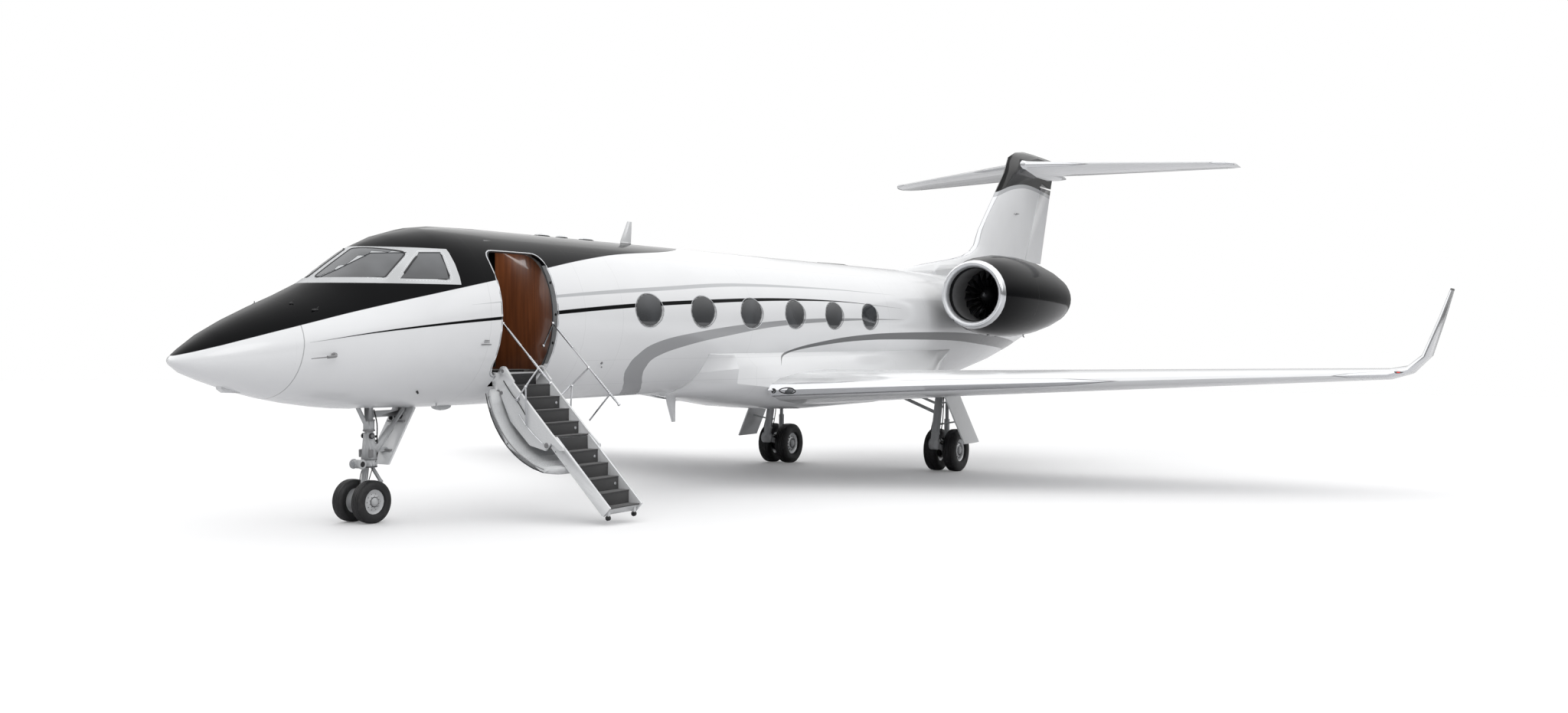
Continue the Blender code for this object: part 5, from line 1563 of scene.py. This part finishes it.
        rim.finish("doorway_rim", self.finishes.metal, Slot.METAL)
        jamb.finish("doorway_jamb", self.finishes.jamb, Slot.METAL)
        seal.finish("doorway_seal", self.finishes.seal, Slot.TYRE)
        latches.finish("doorway_latches", self.finishes.hose, Slot.METAL)


@dataclass
class Cabin:
    """What shows inside: floor, seats, galley, bulkhead and cockpit."""

    finishes: Finishes

    def build(self) -> None:
        """Dress the cabin's CAD nodes."""
        dress("galley_cabinet", self.finishes.wood)
        dress("aft_bulkhead", self.finishes.wood)
        dress("cabin_floor", self.finishes.carpet)
        for side in Side:
            dress(f"seats_{side.label}", self.finishes.leather)
        dress("cockpit_deck", self.finishes.cockpit)
        lamp = bpy.data.lights.new("cabin_light", "AREA")
        lamp.size = 0.7
        lamp.energy = 7.0
        holder = bpy.data.objects.new("cabin_light", lamp)
        holder.matrix_world = AIR @ Matrix.Translation((4.55, -0.30, 1.00))
        bpy.context.scene.collection.objects.link(holder)


@dataclass
class Airstair:
    """Door, folding flight and handrails."""

    finishes: Finishes
    top: Vector = field(default_factory=lambda: Vector((-1.17, -0.922)))
    run: Vector = field(default_factory=lambda: Vector((-0.711, -0.703)))
    rise: Vector = field(default_factory=lambda: Vector((-0.703, 0.711)))
    front: float = 4.17
    back: float = 4.93
    rim: float = 0.045
    upper: tuple[float, float, int] = (0.0, 0.93, 4)
    lower: tuple[float, float, int] = (0.965, 2.165, 5)
    hinge: Vector = field(default_factory=lambda: Vector((-0.83, -0.853)))
    opening: float = 134.0

    def point(self, along: float, above: float = 0.0) -> Vector:
        """Return the (side, level) of a place on the flight.

        Args:
            along: Distance down the flight.
            above: Distance off the line of the step noses.
        """
        return self.top + self.run * along + self.rise * above

    def build(self) -> None:
        """Build and dress the airstair."""
        dress("airstair_door", self.finishes.stair)
        dress("airstair_lower", self.finishes.stair)
        for name in ("front", "back"):
            dress(f"handrail_{name}", self.finishes.rail)
        self.treads("upper_treads", self.upper, "airstair", self.front + 0.037)
        self.treads("lower_treads", self.lower, "airstair_lower", self.front + 0.077)
        self.landing()
        self.grips()
        self.door_edge()
        self.pivots()
        self.casters()

    def landing(self) -> None:
        """Add the top landing and the ribbed riser at the sill."""
        low, high = self.front + 0.037, self.back - 0.037
        shape, ribs = Shape(), Shape()
        shape.box((low, -1.168, -0.960), (high, -0.918, -0.923), 0.003)
        shape.rod((low, -1.168, -0.930), (high, -1.168, -0.930), 0.011, None, 12)
        shape.box((low, -0.924, -0.925), (high, -0.905, -0.775), 0.003)
        for index in range(7):
            level = -0.912 + index * 0.020
            ribs.rod((low + 0.004, -0.926, level), (high - 0.004, -0.926, level), 0.004, None, 8)
        shape.finish("landing", self.finishes.tread, Slot.CARPET, "airstair")
        ribs.finish("landing_ribs", self.finishes.seal, Slot.CARPET, "airstair")

    def swung(self, level: float, half: float) -> Vector:
        """Return the open door's (side, level) of a place on the hull's arc.

        Args:
            level: Level of the place while the door is shut.
            half: Half width of the arc.
        """
        turn = math.asin((level + 0.005) / 1.205)
        shut = Vector((-half * math.cos(turn), level)) - self.hinge
        angle = math.radians(self.opening)
        return self.hinge + Vector((
            shut.x * math.cos(angle) - shut.y * math.sin(angle), shut.x * math.sin(angle) + shut.y * math.cos(angle),
        ))

    def door_edge(self) -> None:
        """Add the rubber seal round the door's edge and the bolts along it."""
        seal, bolts, panel = Shape(), Shape(), Shape()
        for station, half, way in ((4.012, 1.181, -1.0), (5.028, 1.193, 1.0)):
            route = []
            for step in range(21):
                level = -0.72 + step * 0.070
                place = self.swung(level, half - 0.014)
                route.append((station, place.x, place.y))
            seal.hose(route, 0.006, 8, 0)
            inner = []
            for step in range(21):
                level = -0.66 + step * 0.066
                place = self.swung(level, half - 0.070)
                inner.append((station + way * 0.001, place.x, place.y))
            panel.hose(inner, 0.005, 8, 0)
            for level in (-0.52, -0.26, 0.0, 0.26, 0.52):
                place = self.swung(level, half - 0.042)
                bolts.rod((station, place.x, place.y), (station + way * 0.007, place.x, place.y), 0.013, 0.011, 12)
        seal.finish("door_edge_seal", self.finishes.hose, Slot.TYRE, "airstair")
        bolts.finish("door_edge_bolts", self.finishes.disc, Slot.METAL, "airstair")
        panel.finish("door_edge_bead", self.finishes.disc, Slot.METAL, "airstair")

    def pivots(self) -> None:
        """Add the pivot discs, a dark box painted as the shade in a slot, cranks and thin rods on the cheeks."""
        discs, rods, hose = Shape(), Shape(), Shape()
        for face, way in ((self.front, -1.0), (self.back, 1.0)):
            for side_way, level, radius in ((-1.000, -0.735, 0.024), (-1.751, -1.684, 0.036), (-0.975, -1.020, 0.026)):
                discs.rod((face, side_way, level), (face + way * 0.008, side_way, level), radius, radius * 0.92, 20)
                discs.rod((face + way * 0.008, side_way, level), (face + way * 0.012, side_way, level), radius * 0.45)
            crank = [(-1.300, -1.300), (-1.420, -1.440), (-1.560, -1.560), (-1.700, -1.660)]
            for first, last in zip(crank, crank[1:]):
                rods.rod((face + way * 0.014, *first), (face + way * 0.014, *last), 0.006, None, 10)
            for point in crank:
                rods.ball((face + way * 0.014, *point), (0.011, 0.011, 0.011))
                rods.rod((face, *point), (face + way * 0.014, *point), 0.007, None, 10)
        hose.hose([(self.front - 0.006, -1.02, -0.86), (self.front - 0.014, -1.16, -1.02),
                   (self.front - 0.014, -1.30, -1.16), (self.front - 0.006, -1.40, -1.30)], 0.006)
        inner = self.back - 0.035
        discs.rod((inner, -1.000, -0.735), (inner - 0.006, -1.000, -0.735), 0.045, 0.042, 20)
        # A dark box painted as the shade in the slot of the inner lobe
        slot = Shape().box((inner - 0.008, -1.006, -0.757), (inner - 0.005, -0.994, -0.713), 0.0015)
        discs.finish("cheek_discs", self.finishes.disc, Slot.METAL, "airstair")
        rods.finish("cheek_rods", self.finishes.polished, Slot.METAL, "airstair")
        hose.finish("cheek_hose", self.finishes.hose, Slot.TYRE, "airstair")
        slot.finish("lobe_slot", self.finishes.dark, Slot.TYRE, "airstair")

    def casters(self) -> None:
        """Add the rubber rings of the two casters and the bright edges of the side strips."""
        balls, strips = Shape(), Shape()
        for station in (self.front + 0.12, self.back - 0.12):
            balls.rod((station - 0.020, -2.66, -2.57), (station + 0.020, -2.66, -2.57), 0.033, None, 24, 0.006)
        for station in (self.front + 0.045, self.back - 0.075):
            start, end = self.point(0.960, 0.030), self.point(2.186, 0.030)
            for edge in (0.004, 0.026):
                strips.rod((station + edge, start.x, start.y), (station + edge, end.x, end.y), 0.004, None, 8)
        balls.finish("caster_rings", self.finishes.rubber, Slot.TYRE, "airstair_lower")
        strips.finish("strip_edges", self.finishes.polished, Slot.METAL, "airstair_lower")

    def treads(self, name: str, flight: tuple[float, float, int], body: str, inner: float) -> None:
        """Cover each step and riser with dark matting and set a lamp in the riser.

        Args:
            name: Name of the piece.
            flight: Start, end and count of the steps.
            body: Body that it rides on.
            inner: Station of the matting's front edge.
        """
        start, end, count = flight
        pitch = (end - start) / count
        mats, lamps = Shape(), Shape()
        outer = self.front + self.back - inner
        for index in range(count):
            nose = self.point(start + pitch * index)
            foot = self.point(start + pitch * (index + 1))
            mats.box((inner, nose.x - 0.004, foot.y), (outer, nose.x + 0.001, nose.y + 0.006), 0.0015)
            mats.box((inner, foot.x - 0.006, foot.y - 0.001), (outer, nose.x, foot.y + 0.006), 0.0015)
            mats.rod((inner, foot.x - 0.002, foot.y - 0.002), (outer, foot.x - 0.002, foot.y - 0.002), 0.009, None, 12)
            if index % 2 == 0:
                continue
            middle, station = (nose.y + foot.y) / 2, outer - 0.07
            lamps.rod((station, nose.x + 0.01, middle), (station, nose.x - 0.012, middle), 0.022, 0.019, 20, 0.002)
            lamps.rod((station, nose.x - 0.010, middle), (station, nose.x - 0.015, middle), 0.009, 0.008, 12)
        mats.finish(name, self.finishes.tread, Slot.CARPET, body)
        lamps.finish(f"{name}_lamps", self.finishes.polished, Slot.METAL, body)

    def grips(self) -> None:
        """Add the ribbed grips and joint balls of the handrails."""
        shape, joints = Shape(), Shape()
        front, back = self.front - 0.035, self.back + 0.035
        for station, start, end in (
            (front, (-1.12, -0.178), (-1.36, -0.406)), (front, (-1.50, -0.540), (-1.78, -0.806)),
            (back, (-1.24, -0.167), (-1.52, -0.434)), (back, (-1.90, -0.797), (-2.24, -1.122)),
        ):
            first, last = Vector((station, *start)), Vector((station, *end))
            count = 14
            for index in range(count):
                middle = first.lerp(last, (index + 0.5) / count)
                half = (last - first) / count * 0.36
                shape.rod(middle - half, middle + half, 0.0165, None, 14, 0.002)
        for station, side_way, level in (
            (front, -1.651, -0.700), (front, -1.435, -0.930), (front, -1.048, -0.110), (front, -1.858, -0.880),
            (back, -1.790, -0.700), (back, -2.150, -1.045), (back, -1.500, -0.944), (back, -1.00, -0.404),
            (back, -1.170, -0.100), (back, -2.30, -1.180),
        ):
            joints.ball((station, side_way, level), (0.021, 0.021, 0.021))
        shape.finish("rail_grips", self.finishes.rail, Slot.RAIL, "handrails")
        joints.finish("rail_joints", self.finishes.polished, Slot.RAIL, "handrails")


@dataclass
class Wings:
    """Wings, winglets, tail surfaces and their small fittings."""

    finishes: Finishes
    glove: tuple[float, float] = (1.60, -1.19)
    tracks: tuple[tuple[float, float, float], ...] = ((3.95, 15.55, -1.19), (6.70, 16.05, -1.10))

    def build(self) -> None:
        """Dress the lifting surfaces and add their fittings."""
        for side in Side:
            dress(f"wing_{side.label}", self.finishes.wing, math.radians(24.0))
            dress(f"aileron_{side.label}", self.finishes.white)
            dress(f"elevator_{side.label}", self.finishes.white)
        dress("tailplane", self.finishes.tail)
        dress("fin", self.finishes.fin, math.radians(24.0))
        dress("rudder", self.finishes.fin)
        for side in Side:
            self.lamps(side)
            self.undersides(side)
            self.wicks(side)
        self.vanes()

    def lamps(self, side: Side) -> None:
        """Add the landing lamp in the glove and the lamp at the winglet's root.

        Args:
            side: Side of the aircraft.
        """
        surface = Surface(f"wing_{side.label}")
        bezel, lens, ring = Shape(), Shape(), Shape()
        out, level = self.glove
        point, way = surface.at((8.5, side.value * out, level), (1, 0, 0))
        route = []
        for step in range(28):
            turn = math.tau * step / 28
            near, _ = surface.at(
                (8.5, side.value * (out + 0.115 * math.cos(turn)), level + 0.050 * math.sin(turn)), (1, 0, 0),
            )
            route.append(near)
        bezel.hose([*route, route[0]], 0.010, 8, 0)
        lens.ball(point + Vector((0.030, 0, 0)), (0.050, 0.105, 0.045), None, 20)
        small, _ = surface.at((8.5, side.value * (out - 0.20), level), (1, 0, 0))
        ring.turned(((-0.010, 0.030), (-0.014, 0.036), (-0.006, 0.044), (0.012, 0.044), (0.012, 0.030), (-0.010, 0.030)),
                    small, (1, 0, 0), 24)
        tip, _ = surface.at((13.5, side.value * 10.38, -0.915), (1, 0, 0))
        lens.ball(tip + Vector((0.02, 0, 0)), (0.05, 0.10, 0.022), None, 16)
        bezel.finish(f"landing_lamp_bezel_{side.label}", self.finishes.seal, Slot.METAL)
        lens.finish(f"landing_lamp_lens_{side.label}", self.finishes.screen, Slot.GLASS)
        ring.finish(f"glove_ring_{side.label}", self.finishes.seal, Slot.METAL)
        lamp = self.finishes.red_lamp if side is Side.PORT else self.finishes.green_lamp
        Shape().ball(tip + Vector((-0.012, side.value * 0.02, 0)), (0.02, 0.04, 0.012)).finish(
            f"position_lamp_{side.label}", lamp, Slot.GLASS)

    def undersides(self, side: Side) -> None:
        """Add the flap track fairings under the wing.

        Args:
            side: Side of the aircraft.
        """
        shape = Shape()
        for out, station, level in self.tracks:
            shape.ball((station, side.value * out, level), (0.95, 0.075, 0.095), None, 24)
        shape.finish(f"flap_tracks_{side.label}", self.finishes.white, Slot.WHITE)

    def wicks(self, side: Side) -> None:
        """Add the static wicks on the trailing edges.

        Args:
            side: Side of the aircraft.
        """
        shape = Shape()
        for out, station, level in (
            (10.95, 17.60, 0.20), (10.98, 17.72, 0.42), (4.70, 28.22, 4.33), (4.30, 28.13, 4.33), (3.90, 28.04, 4.33),
        ):
            start = Vector((station - 0.06, side.value * out, level))
            shape.rod(start, start + Vector((0.15, 0, 0)), 0.0035, 0.0025, 6)
        shape.finish(f"static_wicks_{side.label}", self.finishes.hose, Slot.METAL)

    def vanes(self) -> None:
        """Add the small probe on each side of the fin and the tail lamp."""
        surface, shape, lamp = Surface("fin"), Shape(), Shape()
        for side in Side:
            point, _ = surface.at((24.15, side.value * 1.2, 2.95), (0, -side.value, 0))
            shape.box(point + Vector((-0.16, -0.012, -0.007)), point + Vector((0.05, 0.012, 0.007)), 0.003)
            shape.rod(point, point + Vector((-0.02, side.value * 0.10, 0.0)), 0.012, 0.008, 10)
            shape.rod(point + Vector((-0.02, side.value * 0.10, 0)), point + Vector((-0.20, side.value * 0.10, 0)), 0.009)
        tail, _ = Surface("tailplane").at((30.0, 0.0, 4.31), (-1, 0, 0))
        lamp.ball(tail + Vector((-0.035, 0, 0)), (0.05, 0.03, 0.03))
        shape.finish("fin_probes", self.finishes.disc, Slot.METAL)
        lamp.finish("tail_lamp", self.finishes.lens, Slot.GLASS)


@dataclass
class Engines:
    """Cowls, cores, fans and pylons."""

    finishes: Finishes
    intake: float = 16.70
    out: float = 2.15
    level: float = 0.60

    def build(self) -> None:
        """Dress the engines and add their fittings."""
        for side in Side:
            dress(f"nacelle_{side.label}", self.finishes.cowls[side], math.radians(40.0))
            dress(f"engine_{side.label}", self.finishes.engine)
            dress(f"fan_{side.label}", self.finishes.fan)
            dress(f"pylon_{side.label}", self.finishes.white)
            self.fan_details(side)
            self.cowl_fittings(side)

    def fan_details(self, side: Side) -> None:
        """Add the spinner's mark, the blade roots and the stator vanes behind the fan.

        Args:
            side: Side of the aircraft.
        """
        centre = Vector((self.intake, side.value * self.out, self.level))
        roots, mark, vanes = Shape(), Shape(), Shape()
        for index in range(20):
            turn = math.tau * index / 20
            way = Vector((0, math.cos(turn), math.sin(turn)))
            roots.rod(centre + Vector((0.90, 0, 0)) + way * 0.165, centre + Vector((1.06, 0, 0)) + way * 0.188, 0.010)
        for index in range(30):
            turn = math.tau * index / 30
            way = Vector((0, math.cos(turn), math.sin(turn)))
            vanes.rod(centre + Vector((1.45, 0, 0)) + way * 0.40, centre + Vector((1.45, 0, 0)) + way * 0.625, 0.014)
        mark.ball(centre + Vector((0.655, 0.012 * side.value, 0.032)), (0.012, 0.014, 0.010))
        body = f"fan_{side.label}"
        roots.finish(f"blade_roots_{side.label}", self.finishes.fan, Slot.FAN, body)
        mark.finish(f"spinner_mark_{side.label}", self.finishes.white, Slot.FAN, body)
        vanes.finish(f"stator_vanes_{side.label}", self.finishes.engine, Slot.ENGINE)

    def cowl_fittings(self, side: Side) -> None:
        """Add the fasteners of the pylon's leading edge, the cowl's catches and the drain pipe.

        Args:
            side: Side of the aircraft.
        """
        dots, catches = Shape(), Shape()
        surface, cowl = Surface(f"pylon_{side.label}"), Surface(f"nacelle_{side.label}")
        for index in range(5):
            out = side.value * (1.26 + index * 0.035)
            try:
                point, way = surface.at((16.9, out, 0.49), (1, 0, 0))
            except ValueError:
                continue
            dots.rod(point - way * 0.003, point + way * 0.005, 0.010, 0.009, 10)
        for along in (0.9, 1.3, 2.1, 2.5):
            point, way = cowl.at((self.intake + along, side.value * self.out, -1.5), (0, 0, 1))
            catches.box(point - Vector((0.05, 0.018, 0.006)), point + Vector((0.05, 0.018, 0.006)), 0.003)
        point, way = cowl.at((self.intake + 2.9, side.value * self.out, -1.5), (0, 0, 1))
        catches.hose([point, point + way * 0.05, point + way * 0.07 + Vector((0.06, 0, 0))], 0.012)
        dots.finish(f"pylon_fasteners_{side.label}", self.finishes.disc, Slot.METAL)
        catches.finish(f"cowl_catches_{side.label}", self.finishes.disc, Slot.METAL)


@dataclass
class Gear:
    """Legs, links, doors, wheels and tyres."""

    finishes: Finishes
    nose_radius: float = 0.270
    nose_width: float = 0.184
    nose_rim: float = 0.155
    main_radius: float = 0.425
    main_width: float = 0.278
    main_rim: float = 0.225

    def build(self) -> None:
        """Build and dress the landing gear."""
        for node in ("nose_gear_leg", "nose_gear_fork"):
            dress(node, self.finishes.gear)
        dress("nose_gear_door", self.finishes.white)
        for side in Side:
            dress(f"main_gear_leg_{side.label}", self.finishes.gear)
            dress(f"main_gear_link_{side.label}", self.finishes.gear)
            dress(f"main_gear_door_{side.label}", self.finishes.white)
            dress(f"main_{side.label}_wheels", self.finishes.wheel)
            for place in ("inner", "outer"):
                self.tyre(f"main_{side.label}_tyre_{place}", self.main_radius, self.main_width, self.main_rim)
        dress("nose_wheels", self.finishes.hub)
        for side in Side:
            self.tyre(f"nose_tyre_{side.label}", self.nose_radius, self.nose_width, self.nose_rim)
            self.main_details(side)
            self.hub_details(f"main_{side.label}_wheels", 0.42, self.main_width, self.main_rim, 12)
        self.hub_details("nose_wheels", 0.35, self.nose_width, self.nose_rim, 10, 0.45)
        self.nose_details()

    def centre_of(self, node: str) -> Vector:
        """Return the middle of a CAD node in the aircraft's axes."""
        low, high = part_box(node)
        return AIR.inverted() @ ((low + high) / 2)

    def nose_details(self) -> None:
        """Add collars, pivots, hoses, the taxi lamp and the brackets of the nose leg."""
        collars, black, hoses, lens, drum = Shape(), Shape(), Shape(), Shape(), Shape()
        x = 2.812
        collars.rod((x, 0, -1.475), (x, 0, -1.452), 0.076, None, 28, 0.004)
        collars.rod((x, 0, -1.345), (x, 0, -1.325), 0.076, None, 28, 0.004)
        for side in Side:
            out = side.value
            black.rod((x - 0.02, out * 0.060, -1.53), (x - 0.02, out * 0.086, -1.53), 0.036, None, 24, 0.004)
            collars.rod((x - 0.02, out * 0.086, -1.53), (x - 0.02, out * 0.092, -1.53), 0.024, 0.020, 20)
            black.rod((x + 0.40, out * 0.036, -1.325), (x + 0.40, out * 0.060, -1.325), 0.028, None, 20, 0.003)
            black.rod((x + 0.48, out * 0.036, -1.310), (x + 0.48, out * 0.060, -1.310), 0.028, None, 20, 0.003)
            hoses.hose([(x + 0.04, out * 0.05, -1.20), (x + 0.07, out * 0.07, -1.38), (x + 0.06, out * 0.08, -1.56),
                        (x + 0.08, out * 0.07, -1.72), (x + 0.02, out * 0.09, -1.86)], 0.008)
            hoses.hose([(x + 0.02, out * 0.075, -1.86), (x - 0.06, out * 0.09, -2.02), (x - 0.10, out * 0.06, -2.20)],
                       0.006)
            collars.box((x - 0.075, min(out * 0.07, out * 0.11), -1.80), (x - 0.02, max(out * 0.07, out * 0.11), -1.70),
                        0.008)
        black.rod((x, 0, -1.832), (x, 0, -1.826), 0.101, None, 28)
        black.rod((x, 0, -1.925), (x, 0, -1.915), 0.102, None, 28, 0.002)
        for level, long in ((-1.545, 0.05), (-1.60, 0.07), (-1.655, 0.04)):
            black.rod((x + 0.060, -0.02, level), (x + 0.060 + long, -0.02, level), 0.016, None, 14, 0.003)
        for side in Side:
            out = side.value
            lens_at = (x - 0.18, out * 0.070, -1.875)
            drum.rod(lens_at, (x - 0.18, out * 0.092, -1.875), 0.064, 0.060, 28, 0.004)
            black.rod((x - 0.18, out * 0.092, -1.875), (x - 0.18, out * 0.096, -1.875), 0.036, 0.030, 20)
        drum.rod((x - 0.250, 0, -1.875), (x - 0.200, 0, -1.875), 0.046, None, 24, 0.004)
        lens.ball((x - 0.250, 0, -1.875), (0.012, 0.040, 0.040), None, 20)
        for rise in (0.25, 0.75):
            low, high = Vector((2.956, 0, -1.900)), Vector((3.398, 0, -1.190))
            place = low.lerp(high, rise)
            collars.box(place + Vector((-0.05, -0.15, -0.012)), place + Vector((-0.005, 0.15, 0.012)), 0.004)
        collars.finish("nose_leg_collars", self.finishes.disc, Slot.GREY)
        black.finish("nose_leg_fittings", self.finishes.hose, Slot.METAL)
        hoses.finish("nose_leg_hoses", self.finishes.hose, Slot.TYRE)
        drum.finish("steering_drums", self.finishes.gear, Slot.GREY, "nose_fork")
        lens.finish("taxi_lamp", self.finishes.lens, Slot.GLASS, "nose_fork")

    def main_details(self, side: Side) -> None:
        """Add brake packs, hoses, collars and braces to a main leg.

        Args:
            side: Side of the aircraft.
        """
        out = side.value * 1.9725
        hub = self.centre_of(f"main_{side.label}_wheels")
        brakes, hoses, collars = Shape(), Shape(), Shape()
        for way in (-1.0, 1.0):
            y = hub.y + way * 0.108
            brakes.rod((hub.x, y - 0.018, hub.z), (hub.x, y + 0.018, hub.z), 0.165, None, 36, 0.006)
            for index in range(6):
                turn = math.tau * index / 6
                place = Vector((hub.x + 0.125 * math.cos(turn), y, hub.z + 0.125 * math.sin(turn)))
                end = Vector((0, -way * 0.045, 0))
                brakes.rod(place, place + end, 0.024, None, 14, 0.004)
        hoses.hose([(15.60, out - 0.07, -1.45), (15.48, out - 0.10, -1.90), (15.36, out - 0.10, -2.30),
                    (15.55, out - 0.09, -2.38), (hub.x - 0.05, out - 0.06, hub.z + 0.05)], 0.010)
        hoses.hose([(15.62, out + 0.07, -1.45), (15.50, out + 0.10, -1.85), (15.34, out + 0.11, -2.25),
                    (15.50, out + 0.09, -2.40)], 0.008)
        top, foot = Vector((15.61, out, -1.35)), Vector((15.29, out, -2.41))
        for share in (0.30, 0.62, 0.80):
            place = top.lerp(foot, share)
            along = (foot - top).normalized() * 0.014
            collars.rod(place - along, place + along, 0.089, None, 28, 0.004)
        collars.rod((15.29, out - 0.082, -2.41), (15.29, out + 0.082, -2.41), 0.055, None, 24, 0.004)
        for level in (-1.55, -1.95):
            share = (level + 1.18) / (-2.38 + 1.18)
            wall = side.value * (2.09 + (2.66 - 2.09) * share - 0.010)
            collars.rod((15.46, out, level - 0.08), (15.50, wall, level), 0.016, None, 10)
        brakes.finish(f"brakes_{side.label}", self.finishes.engine, Slot.METAL)
        hoses.finish(f"brake_hoses_{side.label}", self.finishes.hose, Slot.TYRE)
        collars.finish(f"main_leg_collars_{side.label}", self.finishes.gear, Slot.GREY)

    def hub_details(
        self, node: str, spacing: float, width: float, rim: float, slots: int, share: float = 1.0,
    ) -> None:
        """Add the ring of dark discs painted as the shade in the wheel's holes, a thin painted-shade ring round the
        cap, the bolts and the cap on both outer wheel faces.

        Args:
            node: CAD node of the twin wheels.
            spacing: Distance between the two wheels.
            width: Tyre width.
            rim: Bead radius.
            slots: Number of slots.
            share: Size of a slot against the main wheel's.
        """
        centre = self.centre_of(node)
        half = width / 2 * 0.58
        dark, bolts, caps = Shape(), Shape(), Shape()
        for way in (-1.0, 1.0):
            face = centre.y + way * (spacing / 2 + half)
            # Dark discs painted as the shade seen through the wheel's holes, and the bolts between them
            for index in range(slots):
                turn = math.tau * index / slots
                spoke = Vector((math.cos(turn), 0, math.sin(turn)))
                lean = (Vector((0, way, 0)) * 0.74 + spoke * 0.67).normalized()
                place = Vector((centre.x, face - way * half * 0.26, centre.z)) + spoke * rim * 0.652
                dark.rod(place - lean * 0.004, place + lean * 0.003, rim * 0.066 * share, None, 14)
                half_turn = turn + math.pi / slots
                spoke = Vector((math.cos(half_turn), 0, math.sin(half_turn)))
                place = Vector((centre.x, face, centre.z)) + spoke * rim * 0.47
                bolts.rod(place, place + Vector((0, way * 0.007, 0)), rim * 0.036, None, 6)
            caps.turned(((0.0, 0.0), (0.0, rim * 0.36), (0.008, rim * 0.36), (0.020, rim * 0.30), (0.030, rim * 0.14),
                         (0.030, 0.0)), (centre.x, face, centre.z), (0, way, 0), 28)
            # A thin dark ring painted as the shade in the gap round the cap
            dark.turned(((0.0, rim * 0.37), (0.0, rim * 0.41), (0.003, rim * 0.41), (0.003, rim * 0.37),
                         (0.0, rim * 0.37)), (centre.x, face, centre.z), (0, way, 0), 28)
        body = BODY_OF[node]
        dark.finish(f"{node}_slots", self.finishes.dark, Slot.TYRE, body)
        bolts.finish(f"{node}_bolts", self.finishes.disc, Slot.METAL, body)
        caps.finish(f"{node}_caps", self.finishes.gear, Slot.WHEEL, body)

    def tyre(self, node: str, radius: float, width: float, rim: float) -> None:
        """Stand a grooved tyre in for a CAD one.

        Args:
            node: Name of the CAD node.
            radius: Outer radius.
            width: Section width.
            rim: Radius of the bead.
        """
        low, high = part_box(node)
        centre = AIR.inverted() @ ((low + high) / 2)
        half = width / 2
        wall = radius - rim
        profile = [(-half * 0.60, rim), (-half * 0.86, rim + wall * 0.10), (-half * 0.97, rim + wall * 0.40),
                   (-half * 0.95, rim + wall * 0.62), (-half * 0.83, rim + wall * 0.84)]
        tread = []
        grooves = (-0.50, -0.18, 0.18, 0.50)
        groove_half, groove_deep = 0.028, 0.028
        samples = sorted({-0.66, -0.34, 0.0, 0.34, 0.66} | {g + s * groove_half for g in grooves for s in (-1, 1)})
        for share in samples:
            drop = 1.0 - 0.045 * abs(share) ** 2.4
            tread.append((share * half, radius * drop))
            if any(abs(share - (g - groove_half)) < 1e-6 for g in grooves):
                tread.append((share * half + 0.001, radius * (drop - groove_deep)))
            if any(abs(share - (g + groove_half)) < 1e-6 for g in grooves):
                tread.insert(-1, (share * half - 0.001, radius * (drop - groove_deep)))
        mirrored = [(-a, r) for a, r in reversed(profile)]
        shape = Shape()
        shape.turned(profile + tread + mirrored + [profile[0]], centre, (0, 1, 0), 72)
        piece = shape.finish(f"{node}_skin", self.finishes.rubber, Slot.TYRE, BODY_OF[node], math.radians(40.0))
        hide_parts(node)


def main() -> None:
    """Build every sub-assembly in order."""
    logging.basicConfig(level=logging.INFO, format="%(name)s %(message)s")
    for obj in list(bpy.data.objects):
        if obj.name in ("Cube", "Light", "Camera"):
            bpy.data.objects.remove(obj)
    finishes = Finishes()
    studio(finishes)
    camera()
    for assembly in (
        Hull(finishes), Cabin(finishes), Airstair(finishes), Wings(finishes), Engines(finishes), Gear(finishes),
    ):
        assembly.build()
        LOG.info("%s built", type(assembly).__name__)


if __name__ == "__main__":
    main()
